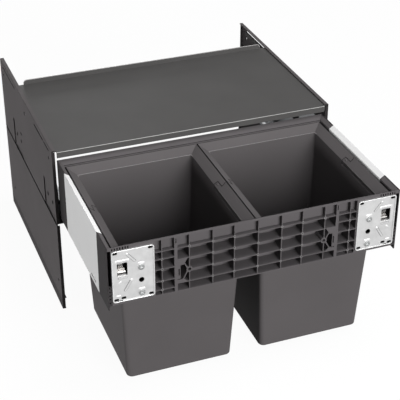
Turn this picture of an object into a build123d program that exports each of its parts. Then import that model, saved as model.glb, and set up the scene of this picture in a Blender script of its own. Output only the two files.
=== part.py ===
from build123d import *
import os

# Pull-out recycling unit for a base cabinet: two side panels with a cover shelf,
# roller runners, a drawer frame open below, and two hanging bins with bail handles.
# Millimetres, +Z up, the drawer opens towards -Y and is modelled fully open.

os.makedirs("parts", exist_ok=True)

# Side panels and shelf
PANEL_SPAN = 562.0
PANEL_DEPTH = 444.0
PANEL_HEIGHT = 356.0
PANEL_SHEET = 1.5
TOP_FLANGE = 8.0
EDGE_FLANGE = 6.0
FOOT_FLANGE = 12.0
FOOT_NOTCH = 34.0
BORDER_HEIGHT = 24.0
BORDER_SET = 4.0
SEAM_GAP = 4.0
LAP = 14.0
TAB_HEIGHT = 62.0
TAB_LENGTH = 84.0
SHELF_SHEET = 1.2
SHELF_DROP = 3.0
SHELF_DEPTH = 306.0
SHELF_AHEAD = 2.0
SHELF_LIP = 12.0
SHELF_REAR_LIP = 10.0
SHELF_FLANGE = 18.0
SHELF_SLOT = 3.4
SHELF_PLAY = 0.5
HOLE_PITCH = 384.0
HOLE_Z = 58.0

# Drawer frame
TRAVEL = 310.0
FRONT_STAND = 1.0
DRAWER_DEPTH = 316.0
DRAWER_GAP = 8.0
SIDE_GAP = 10.0
SIDE_HEIGHT = 124.5
SIDE_SHEET = 1.2
FRONT_HEIGHT = 116.0
WALL = 2.0
RIB = 1.6
MOULD_DEPTH = 27.6
UPPER_SET = 9.0
SLOPE = 0.684
SIDE_RIM = 9.5
END_RIM = 12.0
WING_FRONT = 56.0
WING_REAR = 51.5
LEDGE_DROP = 26.7
PLUG = 14.0
PLUG_PLAY = 0.2

# Runners
WEB_DROP = 101.8
RAIL_INSET = 13.0
RAIL_WIDTH = 18.0
RAIL_SHEET = 1.5
RAIL_STEP = 10.34
ROLLER_R = 1.5
ROLLER_PLAY = 0.02
FLANGE = 2.0
FLANGE_WIDTH = 11.2
RAIL_WEB = 2.5
LIP_GAP = 7.0
BRACKET_SHEET = 1.5
BRACKET_RISE = 114.0
CAGE_LENGTH = 116.0
CAGE_WALL = 1.1

# Front plates and release levers
PLATE_WIDTH = 74.4
PLATE_HEIGHT = 102.6
PLATE_SHEET = 2.0
PLATE_RISE = 3.0
PLATE_INSET = 44.8
SLOT_X = 61.5
SLOT_Z = 93.0
SLOT_LENGTH = 8.6
SLOT_HEIGHT = 5.0
SCREW_INSET = 14.2
SCREW_DROP = 14.9
SCREW_PITCH = 51.8
LEVER_WIDTH = 14.0
PIN_R = 1.2
PIN_PLAY = 0.05

# Bins and handles
BIN_GAP = 2.5
RIM_PLAY = 4.0
RIM_PLAY_END = 2.5
RIM_BAND = 16.6
RIM_DROP = 9.5
RIM_SLOPE = 0.69
BIN_WALL = 2.0
BIN_FLOOR_Z = 17.2
BIN_DRAFT = 13.2
RIM_SHEET = 2.4
HANDLE_SHEET = 2.8
KNUCKLE_R = 12.0
PIVOT_R = 2.0
PIVOT_PLAY = 0.08
TAIL_R = 7.5
HANDLE_PLAY = 0.8

# Levels and stations that follow from the sizes above
OUT = PANEL_SPAN / 2
INNER = OUT - PANEL_SHEET
EDGE_Y = (TRAVEL + FRONT_STAND + PLATE_RISE - PANEL_DEPTH) / 2
REAR_Y = EDGE_Y + PANEL_DEPTH
FACE_Y = EDGE_Y - TRAVEL - FRONT_STAND
BACK_Y = FACE_Y + DRAWER_DEPTH
HALF = OUT - SIDE_GAP
SHELF_Z = PANEL_HEIGHT - SHELF_DROP
TOP = SHELF_Z - SHELF_LIP - DRAWER_GAP
SIDE_LOW = TOP - SIDE_HEIGHT
FRONT_LOW = TOP - FRONT_HEIGHT
LEDGE = TOP - LEDGE_DROP
WEB = TOP - WEB_DROP
CHANNEL = 4 * (ROLLER_R + ROLLER_PLAY) + FLANGE
RAIL_HEIGHT = CHANNEL + 2 * RAIL_SHEET
RAIL_X = HALF - RAIL_INSET
UPPER_RAIL = WEB - SIDE_SHEET - RAIL_HEIGHT
LOWER_RAIL = UPPER_RAIL - RAIL_STEP - RAIL_HEIGHT
BRACKET_LOW = LOWER_RAIL - BRACKET_SHEET
SEAM = BRACKET_LOW + 2.0
PLATE_X = HALF - PLATE_INSET
PLATE_Z = TOP - 58.65
SHELF_HALF = INNER - SHELF_PLAY
LIP_HALF = OUT - TOP_FLANGE - SHELF_PLAY - 0.6
NOTCH = 3.0
TAB_INNER = INNER - PANEL_SHEET
SHELF_TAB_Z = SHELF_Z - 7.5
BRACKET_EDGE = RAIL_X - RAIL_WIDTH / 2 - 2.0
RAIL_FRONT = EDGE_Y + 6.0
RAIL_LENGTH = TRAVEL - 6.0


def block(x, y, z, mode=Mode.ADD):
    """Box between low and high values on each axis."""
    with Locations(((x[0] + x[1]) / 2, (y[0] + y[1]) / 2, (z[0] + z[1]) / 2)):
        Box(x[1] - x[0], y[1] - y[0], z[1] - z[0], mode=mode)


def rod_x(y, z, radius, x, mode=Mode.ADD):
    """Cylinder along X between two stations."""
    with Locations(((x[0] + x[1]) / 2, y, z)):
        Cylinder(radius, x[1] - x[0], rotation=(0, 90, 0), mode=mode)


def bent_sheet(points, thickness, radius, y, side):
    """Sheet bent along the outline (x, z) of its outer face, run between two y."""
    with BuildPart() as sheet:
        with BuildSketch(Plane.XZ.offset(-y[0])):
            with BuildLine():
                FilletPolyline(*points, radius=radius)
                offset(amount=thickness, side=side)
            make_face()
        extrude(amount=-(y[1] - y[0]))
    return sheet.part


def twin(part, label):
    """The left-hand piece, mirrored from the right-hand one."""
    with BuildPart() as other:
        mirror(part, about=Plane.YZ)
    other.part.label = label
    export_step(other.part, f"parts/{label}.step")
    return other.part


# Upper side panels
TAB_Y = (EDGE_Y + 3.0, EDGE_Y + 266.0)
upper_profile = [(OUT, SEAM), (OUT, PANEL_HEIGHT), (OUT - TOP_FLANGE, PANEL_HEIGHT)]
with BuildPart() as side_panel_upper_right:
    add(bent_sheet(upper_profile, PANEL_SHEET, 2.0, (EDGE_Y, REAR_Y), Side.LEFT))
    flange_top = PANEL_HEIGHT - PANEL_SHEET - 2.0
    block((OUT - EDGE_FLANGE, INNER + 0.5), (EDGE_Y, EDGE_Y + PANEL_SHEET), (SEAM, flange_top))
    block((OUT - EDGE_FLANGE, INNER + 0.5), (REAR_Y - PANEL_SHEET, REAR_Y), (SEAM, flange_top))
    for y in TAB_Y:
        window_z = (SEAM - 1.0, SEAM + TAB_HEIGHT)
        block((INNER - 0.1, OUT + 1.0), (y + 3.0, y + TAB_LENGTH), window_z, Mode.SUBTRACT)
    # The tabs reach down behind the lower panel, and a slit frees their rear ends
    for y, ahead in zip(TAB_Y, (0.0, 3.5)):
        block((TAB_INNER, INNER), (y, y + TAB_LENGTH - 2.5), (SEAM - SEAM_GAP - 8.0, SEAM + TAB_HEIGHT + 4.0))
        block((TAB_INNER, INNER), (y - ahead, y + TAB_LENGTH + 3.5), (SEAM - SEAM_GAP - 8.0, SEAM + 1.0))
        slit_z = (SEAM + TAB_HEIGHT - 2.5, SEAM + TAB_HEIGHT)
        block((TAB_INNER - 0.5, INNER + 0.1), (y + TAB_LENGTH - 24.0, y + TAB_LENGTH), slit_z, Mode.SUBTRACT)
    with BuildSketch(Plane.YZ.offset(TAB_INNER - 1.0)):
        with Locations((EDGE_Y + 362.5, SHELF_TAB_Z)):
            SlotOverall(112.0, SHELF_SLOT)
        with Locations((EDGE_Y + 103.5, SHELF_TAB_Z)):
            SlotOverall(70.0, SHELF_SLOT)
        with Locations((EDGE_Y + 43.0, SHELF_TAB_Z)):
            SlotOverall(40.0, SHELF_SLOT)
        with Locations((EDGE_Y + 225.0, TOP - 6.0), (EDGE_Y + 287.0, TOP - 82.0)):
            SlotOverall(11.0, 6.0)
        with Locations((EDGE_Y + 418.0, TOP - 5.0), (EDGE_Y + 27.0, TOP - 4.0)):
            Circle(3.0)
        for y in TAB_Y:
            with Locations((y + 24.0, SEAM + 34.0), (y + 60.0, SEAM + 34.0)):
                Circle(2.6)
    extrude(amount=3 * PANEL_SHEET, mode=Mode.SUBTRACT)
side_panel_upper_right.part.label = "side_panel_upper_right"
export_step(side_panel_upper_right.part, "parts/side_panel_upper_right.step")
twin(side_panel_upper_right.part, "side_panel_upper_left")

# Lower side panels, lapped behind the upper ones between the pressed tabs
lower_top = SEAM - SEAM_GAP
lower_profile = [
    (OUT - BORDER_SET - FOOT_FLANGE, 0.0),
    (OUT - BORDER_SET, 0.0),
    (OUT, BORDER_HEIGHT),
    (OUT, lower_top),
]
with BuildPart() as side_panel_lower_right:
    add(bent_sheet(lower_profile, PANEL_SHEET, 2.0, (EDGE_Y, REAR_Y), Side.LEFT))
    edge_z = (BORDER_HEIGHT, lower_top)
    block((OUT - EDGE_FLANGE, INNER + 0.5), (EDGE_Y, EDGE_Y + PANEL_SHEET), edge_z)
    block((OUT - EDGE_FLANGE, INNER + 0.5), (REAR_Y - PANEL_SHEET, REAR_Y), edge_z)
    for y0, y1 in ((TAB_Y[0] + TAB_LENGTH + 4.0, TAB_Y[1] - 4.0), (TAB_Y[1] + TAB_LENGTH + 4.0, REAR_Y - 6.0)):
        block((TAB_INNER, INNER), (y0, y1), (lower_top - 8.0, SEAM + LAP))
    # The foot flange starts behind the front corner
    foot_x = (OUT - BORDER_SET - FOOT_FLANGE - 1.0, OUT - BORDER_SET - 2.5)
    block(foot_x, (EDGE_Y - 1.0, EDGE_Y + FOOT_NOTCH), (-1.0, PANEL_SHEET + 0.5), Mode.SUBTRACT)
    with BuildSketch(Plane.YZ.offset(TAB_INNER - 1.0)):
        for y in (EDGE_Y + 20.0, EDGE_Y + 20.0 + HOLE_PITCH):
            with Locations((y, HOLE_Z)):
                Circle(3.0)
    extrude(amount=3 * PANEL_SHEET, mode=Mode.SUBTRACT)
side_panel_lower_right.part.label = "side_panel_lower_right"
export_step(side_panel_lower_right.part, "parts/side_panel_lower_right.step")
twin(side_panel_lower_right.part, "side_panel_lower_left")

# Cover shelf with its tabs in the panels' long slots
shelf_y = (EDGE_Y - SHELF_AHEAD, EDGE_Y - SHELF_AHEAD + SHELF_DEPTH)
tab_z = (SHELF_TAB_Z - SHELF_SHEET / 2, SHELF_TAB_Z + SHELF_SHEET / 2)
flange_z = SHELF_Z - SHELF_FLANGE
shelf_profile = [
    (-SHELF_HALF, flange_z),
    (-SHELF_HALF, SHELF_Z),
    (SHELF_HALF, SHELF_Z),
    (SHELF_HALF, flange_z),
]
with BuildPart() as shelf:
    add(bent_sheet(shelf_profile, SHELF_SHEET, 2.0, (EDGE_Y + NOTCH, shelf_y[1]), Side.RIGHT))
    lip_x = (-LIP_HALF, LIP_HALF)
    lip_y = (shelf_y[0], shelf_y[0] + SHELF_SHEET)
    block(lip_x, (shelf_y[0], EDGE_Y + NOTCH + 1.0), (SHELF_Z - SHELF_SHEET, SHELF_Z))
    block(lip_x, lip_y, (SHELF_Z - SHELF_LIP, SHELF_Z - SHELF_SHEET / 2))
    front_top = shelf.edges().filter_by(Axis.X).group_by(Axis.Z)[-1].sort_by(Axis.Y)[0]
    fillet(front_top, SHELF_SHEET * 0.8)
    with BuildSketch(Plane.XZ.offset(-(shelf_y[1] - SHELF_SHEET))) as rear_lip:
        with Locations((0, SHELF_Z + SHELF_REAR_LIP / 2 - 0.6)):
            Rectangle(2 * LIP_HALF - 20.0, SHELF_REAR_LIP + 1.2)
        fillet(rear_lip.vertices().group_by(Axis.Y)[-1], 7.0)
    extrude(amount=-SHELF_SHEET)
    for side in (-1, 1):
        reach = sorted((side * (SHELF_HALF - SHELF_SHEET), side * (OUT - 0.9)))
        block(reach, (EDGE_Y + 80.0, EDGE_Y + 126.0), tab_z)
        block(reach, (EDGE_Y + 30.0, EDGE_Y + 56.0), tab_z)
        # The side flange runs on to the rear as a strip below the rear slot
        strip = sorted((side * (SHELF_HALF - SHELF_SHEET), side * SHELF_HALF))
        block(strip, (shelf_y[1] - 1.0, EDGE_Y + 420.0), (flange_z, SHELF_Z - 10.0))
shelf.part.label = "shelf"
export_step(shelf.part, "parts/shelf.step")

# Runner brackets on the pressed tabs
bracket_y = (EDGE_Y + 3.0, TAB_Y[1] + TAB_LENGTH + 6.0)
bracket_profile = [
    (BRACKET_EDGE, BRACKET_LOW),
    (TAB_INNER, BRACKET_LOW),
    (TAB_INNER, BRACKET_LOW + BRACKET_RISE),
]
with BuildPart() as runner_bracket_right:
    add(bent_sheet(bracket_profile, BRACKET_SHEET, 2.0, bracket_y, Side.LEFT))
    with BuildSketch(Plane.YZ.offset(TAB_INNER - BRACKET_SHEET - 1.0)):
        for y in TAB_Y:
            with Locations((y + 24.0, SEAM + 34.0), (y + 60.0, SEAM + 34.0)):
                Circle(2.6)
        with Locations((EDGE_Y + 180.0, SEAM + 70.0)):
            SlotOverall(120.0, 30.0)
        with Locations((EDGE_Y + 8.5, BRACKET_LOW + BRACKET_RISE - 12.0)):
            Rectangle(12.0, 26.0)
    extrude(amount=BRACKET_SHEET + 2.0, mode=Mode.SUBTRACT)
runner_bracket_right.part.label = "runner_bracket_right"
export_step(runner_bracket_right.part, "parts/runner_bracket_right.step")
twin(runner_bracket_right.part, "runner_bracket_left")

# End caps of the brackets
web_face = TAB_INNER - BRACKET_SHEET
with BuildPart() as bracket_cap_right:
    with BuildSketch(Plane.XZ.offset(-(EDGE_Y + 3.0))):
        with BuildLine():
            Polyline(
                (web_face, BRACKET_LOW + BRACKET_SHEET + 4.0),
                (web_face, BRACKET_LOW + 78.0),
                (web_face - 3.0, BRACKET_LOW + 76.0),
                (web_face - 3.0, BRACKET_LOW + 14.0),
                (web_face - 8.5, BRACKET_LOW + 9.5),
                (web_face - 8.5, BRACKET_LOW + BRACKET_SHEET),
                (web_face - 2.5, BRACKET_LOW + BRACKET_SHEET),
                close=True,
            )
        make_face()
    extrude(amount=-12.0)
bracket_cap_right.part.label = "bracket_cap_right"
export_step(bracket_cap_right.part, "parts/bracket_cap_right.step")
twin(bracket_cap_right.part, "bracket_cap_left")

# Rails: a channel on the bracket, an I profile, and a channel under the drawer side
rail_x = (RAIL_X - RAIL_WIDTH / 2, RAIL_X + RAIL_WIDTH / 2)
hollow_x = (rail_x[0] + RAIL_SHEET, rail_x[1] - RAIL_SHEET)
mouth_x = (RAIL_X - LIP_GAP / 2, RAIL_X + LIP_GAP / 2)
flange_x = (RAIL_X - FLANGE_WIDTH / 2, RAIL_X + FLANGE_WIDTH / 2)
web_x = (RAIL_X - RAIL_WEB / 2, RAIL_X + RAIL_WEB / 2)
ROLL = 2 * (ROLLER_R + ROLLER_PLAY)
low_floor = LOWER_RAIL + RAIL_SHEET
low_flange = low_floor + ROLL
high_roof = UPPER_RAIL + RAIL_HEIGHT - RAIL_SHEET
high_flange = high_roof - ROLL - FLANGE
cab_y = (RAIL_FRONT, RAIL_FRONT + TRAVEL + 6.0)
mid_y = (RAIL_FRONT + 2.0 - TRAVEL / 2, RAIL_FRONT + 2.0 - TRAVEL / 2 + TRAVEL - 10.0)
out_y = (EDGE_Y + 4.0 - TRAVEL, EDGE_Y + 4.0 - TRAVEL + RAIL_LENGTH)

with BuildPart() as cabinet_rail_right:
    block(rail_x, cab_y, (LOWER_RAIL, LOWER_RAIL + RAIL_HEIGHT))
    fillet(cabinet_rail_right.edges().filter_by(Axis.Y).group_by(Axis.Z)[0], 1.0)
    block(hollow_x, (cab_y[0] - 1, cab_y[1] - 2.0), (low_floor, low_floor + CHANNEL), Mode.SUBTRACT)
    mouth_z = (low_floor + CHANNEL - 0.5, LOWER_RAIL + RAIL_HEIGHT + 1.0)
    block(mouth_x, (cab_y[0] - 1, cab_y[1] - 2.0), mouth_z, Mode.SUBTRACT)
cabinet_rail_right.part.label = "cabinet_rail_right"
export_step(cabinet_rail_right.part, "parts/cabinet_rail_right.step")
twin(cabinet_rail_right.part, "cabinet_rail_left")

with BuildPart() as middle_rail_right:
    block(flange_x, mid_y, (low_flange, low_flange + FLANGE))
    block(web_x, mid_y, (low_flange + FLANGE / 2, high_flange + FLANGE / 2))
    block(flange_x, mid_y, (high_flange, high_flange + FLANGE))
    fillet(middle_rail_right.edges().filter_by(Axis.Y).filter_by(
        lambda e: abs(abs(e.center().X - RAIL_X) - FLANGE_WIDTH / 2) < 0.1), 0.6)
middle_rail_right.part.label = "middle_rail_right"
export_step(middle_rail_right.part, "parts/middle_rail_right.step")
twin(middle_rail_right.part, "middle_rail_left")

with BuildPart() as drawer_rail_right:
    block(rail_x, out_y, (UPPER_RAIL, UPPER_RAIL + RAIL_HEIGHT))
    fillet(drawer_rail_right.edges().filter_by(Axis.Y).group_by(Axis.Z)[-1], 1.0)
    block(hollow_x, (out_y[0] + 2.0, out_y[1] + 1), (UPPER_RAIL + RAIL_SHEET, high_roof), Mode.SUBTRACT)
    mouth_z = (UPPER_RAIL - 1.0, UPPER_RAIL + RAIL_SHEET + 0.5)
    block(mouth_x, (out_y[0] + 2.0, out_y[1] + 1), mouth_z, Mode.SUBTRACT)
    # Catch behind the slit in the drawer side
    catch_y = (FACE_Y + WING_FRONT + 16.0, FACE_Y + WING_FRONT + 51.0)
    block((rail_x[1] - 0.5, HALF - SIDE_SHEET - 0.4), catch_y, (SIDE_LOW + 3.5, UPPER_RAIL + 2.2))
drawer_rail_right.part.label = "drawer_rail_right"
export_step(drawer_rail_right.part, "parts/drawer_rail_right.step")
twin(drawer_rail_right.part, "drawer_rail_left")


def roller_cage(base_z, up, mid_station):
    """Cage strip and rollers round one flange, for the channel with this base.

    up is 1 where the channel opens upwards and -1 where it opens downwards.
    """
    y0 = mid_station - CAGE_LENGTH / 2
    y1 = mid_station + CAGE_LENGTH / 2
    stations = [y0 + 10.0 + i * (CAGE_LENGTH - 20.0) / 4 for i in range(5)]
    low_z = base_z + up * (ROLLER_R + ROLLER_PLAY)
    high_z = base_z + up * (CHANNEL - ROLLER_R - ROLLER_PLAY)
    wall_out = RAIL_WIDTH / 2 - RAIL_SHEET - 0.4
    wall_in = wall_out - CAGE_WALL
    upper_len = (FLANGE_WIDTH - RAIL_WEB) / 2 - 1.2
    upper_x = RAIL_WEB / 2 + 0.6 + upper_len / 2
    with BuildPart() as cage:
        for s in (-1, 1):
            wall = sorted((RAIL_X + s * wall_in, RAIL_X + s * wall_out))
            block(wall, (y0, y1), (min(low_z, high_z) - 0.6, max(low_z, high_z) + 0.6))
            ledge = sorted((RAIL_X + s * (RAIL_WEB / 2 + 0.4), RAIL_X + s * wall_out))
            block(ledge, (y0, y1), (high_z - 0.6, high_z + 0.6))
        block((RAIL_X - wall_out, RAIL_X + wall_out), (y0, y1), (low_z - 0.6, low_z + 0.6))
        for y in stations:
            slot_y = (y - ROLLER_R - 0.15, y + ROLLER_R + 0.15)
            lower_x = (RAIL_X - FLANGE_WIDTH / 2 + 0.4, RAIL_X + FLANGE_WIDTH / 2 - 0.4)
            block(lower_x, slot_y, (low_z - 1, low_z + 1), Mode.SUBTRACT)
            for s in (-1, 1):
                cx = RAIL_X + s * upper_x
                half = upper_len / 2 + 0.15
                block((cx - half, cx + half), slot_y, (high_z - 1, high_z + 1), Mode.SUBTRACT)
    with BuildPart() as rollers:
        for y in stations:
            rod_x(y, low_z, ROLLER_R, (RAIL_X - FLANGE_WIDTH / 2 + 0.6, RAIL_X + FLANGE_WIDTH / 2 - 0.6))
            for s in (-1, 1):
                cx = RAIL_X + s * upper_x
                rod_x(y, high_z, ROLLER_R, (cx - upper_len / 2, cx + upper_len / 2))
    return cage.part, rollers.part


lower_cage, lower_rollers = roller_cage(low_floor, 1, (cab_y[0] + mid_y[1]) / 2)
upper_cage, upper_rollers = roller_cage(high_roof, -1, (mid_y[0] + out_y[1]) / 2)
with BuildPart() as lower_cage_right:
    add(lower_cage)
lower_cage_right.part.label = "lower_cage_right"
export_step(lower_cage_right.part, "parts/lower_cage_right.step")
twin(lower_cage_right.part, "lower_cage_left")
with BuildPart() as upper_cage_right:
    add(upper_cage)
upper_cage_right.part.label = "upper_cage_right"
export_step(upper_cage_right.part, "parts/upper_cage_right.step")
twin(upper_cage_right.part, "upper_cage_left")
with BuildPart() as lower_rollers_right:
    add(lower_rollers)
lower_rollers_right.part.label = "lower_rollers_right"
export_step(lower_rollers_right.part, "parts/lower_rollers_right.step")
twin(lower_rollers_right.part, "lower_rollers_left")
with BuildPart() as upper_rollers_right:
    add(upper_rollers)
upper_rollers_right.part.label = "upper_rollers_right"
export_step(upper_rollers_right.part, "parts/upper_rollers_right.step")
twin(upper_rollers_right.part, "upper_rollers_left")

# Drawer sides: outer wall, sloped top, inner wall and the web that carries the drawer rail
side_in = HALF - SIDE_RIM
side_profile = [
    (HALF, SIDE_LOW),
    (HALF, TOP),
    (side_in, TOP - SLOPE * SIDE_RIM),
    (side_in, WEB),
    (BRACKET_EDGE, WEB),
]
side_y = (FACE_Y + WING_FRONT, BACK_Y - WING_REAR)
with BuildPart() as drawer_side_right:
    add(bent_sheet(side_profile, SIDE_SHEET, 0.6, side_y, Side.LEFT))
    with BuildSketch(Plane.YZ.offset(HALF - SIDE_SHEET - 0.5)):
        with Locations((side_y[0] + 33.5, SIDE_LOW + 8.9)):
            SlotOverall(31.0, 3.0)
    extrude(amount=SIDE_SHEET + 1.0, mode=Mode.SUBTRACT)
drawer_side_right.part.label = "drawer_side_right"
export_step(drawer_side_right.part, "parts/drawer_side_right.step")
twin(drawer_side_right.part, "drawer_side_left")

# End mouldings of the drawer: egg-crate ribs open outwards, wings, ledge for the bins
RIB_X = [HALF * share for share in (0.0, 0.1624, 0.3081, 0.4649, 0.6458, 0.6937)]
THICK_X = HALF * 0.5542
THICK_RIB = 5.6
ROW_Z = (TOP - 98.7, TOP - 74.5, TOP - 50.4)
OUTER_ROW_Z = (TOP - 105.5, TOP - 87.7, TOP - 63.5, TOP - 43.0)
BACK_RIB_X = (PLATE_X - 22.2, PLATE_X + 4.0)
LAND_X = PLATE_X - PLATE_WIDTH / 2 - 1.8
LAND = 3.0
LEDGE_FLAT = 20.0


def crate_half():
    """Right half of the ribbed part, outer face on y = 0, drawer's inside towards +Y."""
    depth_mid = MOULD_DEPTH / 2
    crate_mid = (FRONT_LOW + LEDGE) / 2
    crate_tall = LEDGE - FRONT_LOW
    upper_mid = (LEDGE + TOP - 4.0) / 2
    upper_tall = TOP - 2.0 - LEDGE
    fall = RIM_SLOPE * (MOULD_DEPTH - LEDGE_FLAT)
    gusset = RIB_X[3]
    with BuildPart() as crate:
        # Sloped top edge, upper wall, ledge, back wall and bottom in one section
        with BuildSketch(Plane.YZ):
            with BuildLine():
                Polyline(
                    (0, TOP),
                    (END_RIM, TOP - SLOPE * END_RIM),
                    (END_RIM, TOP - SLOPE * END_RIM - 2.4),
                    (WALL, TOP - SLOPE * WALL - 2.4),
                    (WALL, TOP - 4.5),
                    (0, TOP - 4.5),
                    close=True,
                )
            make_face()
            with BuildLine():
                Polyline(
                    (UPPER_SET, TOP - SLOPE * END_RIM),
                    (UPPER_SET + WALL, TOP - SLOPE * END_RIM),
                    (UPPER_SET + WALL, LEDGE),
                    (LEDGE_FLAT, LEDGE),
                    (MOULD_DEPTH, LEDGE - fall),
                    (MOULD_DEPTH, FRONT_LOW),
                    (0, FRONT_LOW),
                    (0, FRONT_LOW + RIB),
                    (MOULD_DEPTH - RIB, FRONT_LOW + RIB),
                    (MOULD_DEPTH - RIB, LEDGE - fall - RIB),
                    (LEDGE_FLAT - 0.6, LEDGE - RIB),
                    (0, LEDGE - RIB),
                    (0, LEDGE),
                    (UPPER_SET, LEDGE),
                    close=True,
                )
            make_face()
        extrude(amount=side_in)
        # Ribs
        with Locations(*[(THICK_X / 2, depth_mid, z) for z in (ROW_Z[0], ROW_Z[2])]):
            Box(THICK_X, MOULD_DEPTH, RIB)
        with Locations((gusset / 2, depth_mid, ROW_Z[1])):
            Box(gusset, MOULD_DEPTH, RIB)
        with Locations(*[((side_in + THICK_X) / 2, depth_mid, z) for z in OUTER_ROW_Z]):
            Box(side_in - THICK_X, MOULD_DEPTH, RIB)
        with Locations(*[(x, depth_mid, crate_mid) for x in RIB_X + list(BACK_RIB_X)]):
            Box(RIB, MOULD_DEPTH, crate_tall)
        with Locations((THICK_X, depth_mid, crate_mid)):
            Box(THICK_RIB, MOULD_DEPTH, crate_tall)
        with Locations(*[(x, (UPPER_SET + 1.0) / 2, upper_mid) for x in RIB_X]):
            Box(RIB, UPPER_SET + 1.0, upper_tall)
        with Locations((THICK_X, (UPPER_SET + 1.0) / 2, upper_mid)):
            Box(THICK_RIB, UPPER_SET + 1.0, upper_tall)
        # The ribs stay under the sloped top edge, and under the ledge's fall, which clears the bins' rims
        with BuildSketch(Plane.YZ.offset(-10.0)):
            with BuildLine():
                Polyline((0, TOP), (END_RIM, TOP - SLOPE * END_RIM), (END_RIM, TOP + 2.0), (0, TOP + 2.0), close=True)
            make_face()
            with BuildLine():
                Polyline(
                    (LEDGE_FLAT, LEDGE),
                    (MOULD_DEPTH + 2.0, LEDGE - fall - 2.0 * RIM_SLOPE),
                    (MOULD_DEPTH + 2.0, LEDGE + 2.0),
                    (LEDGE_FLAT, LEDGE + 2.0),
                    close=True,
                )
            make_face()
        extrude(amount=side_in + 20.0, mode=Mode.SUBTRACT)
        block((LAND_X, HALF - 0.5), (0, LAND), (FRONT_LOW, TOP - 3.0))
        # Bosses where the ribs cross, and the large ringed boss
        crossings = [(x, z) for x in RIB_X[:3] for z in ROW_Z]
        crossings += [(RIB_X[4], z) for z in OUTER_ROW_Z]
        crossings += [(x, LEDGE - RIB / 2) for x in RIB_X[1:4]]
        with Locations(*[(x, 7.0, z) for x, z in crossings]):
            Cylinder(2.3, 14.0, rotation=(90, 0, 0))
        with Locations((gusset, depth_mid, ROW_Z[1])):
            Cylinder(5.6, MOULD_DEPTH, rotation=(90, 0, 0))
        # Diagonal ribs, flush gussets and the slotted frame beside the thick rib
        with BuildSketch(Plane.XZ):
            for turn, z_end in ((1, ROW_Z[1] + 18.5), (-1, ROW_Z[1] - 17.5)):
                with BuildLine():
                    Polyline(
                        (gusset + 2.2, ROW_Z[1] - turn * 2.2),
                        (gusset + 12.4, z_end),
                        (gusset + 10.6, z_end),
                        (gusset + 0.4, ROW_Z[1]),
                        close=True,
                    )
                make_face()
        extrude(amount=-(MOULD_DEPTH - 1.0))
        with BuildSketch(Plane.XZ):
            with BuildLine():
                Polyline(
                    (THICK_X - 1.2, ROW_Z[2] + 0.8),
                    (gusset + 2.5, ROW_Z[2] + 0.8),
                    (gusset + 10.5, ROW_Z[2] - 12.5),
                    (THICK_X - 1.2, ROW_Z[2] - 12.5),
                    close=True,
                )
            make_face()
            with BuildLine():
                Polyline(
                    (THICK_X - 1.2, ROW_Z[0] - 0.8),
                    (gusset + 2.5, ROW_Z[0] - 0.8),
                    (gusset + 10.0, ROW_Z[0] + 6.5),
                    (THICK_X - 1.2, ROW_Z[0] + 6.5),
                    close=True,
                )
            make_face()
            with Locations((THICK_X - 5.0, ROW_Z[1] - 2.0)):
                Rectangle(6.0, 28.0)
        extrude(amount=-2.5)
        # Pin holes, slots, the comb in the top edge and the dots in the outer edge
        with Locations(*[(x, 5.0, z) for x, z in crossings]):
            Cylinder(1.0, 10.2, rotation=(90, 0, 0), mode=Mode.SUBTRACT)
        with Locations((gusset, 6.0, ROW_Z[1])):
            Cylinder(3.0, 12.2, rotation=(90, 0, 0), mode=Mode.SUBTRACT)
        with BuildSketch(Plane.XZ.offset(0.5)):
            with Locations((THICK_X, TOP - 12.0)):
                SlotOverall(10.0, 2.0, rotation=90)
            with Locations((THICK_X - 5.4, ROW_Z[1] - 2.0)):
                SlotOverall(15.0, 2.0, rotation=90)
            with Locations(*[(HALF - 10.0 - 4.6 * i, TOP - 5.0) for i in range(7)]):
                Rectangle(2.2, 5.0)
            with Locations(*[(HALF - 3.6, FRONT_LOW + 6.0 + 7.4 * i) for i in range(5)]):
                Circle(1.3)
        extrude(amount=-3.2, mode=Mode.SUBTRACT)
        block((-20.0, 0.0), (-1.0, MOULD_DEPTH + 1.0), (FRONT_LOW - 1.0, TOP + 1.0), Mode.SUBTRACT)
    return crate.part


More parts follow.
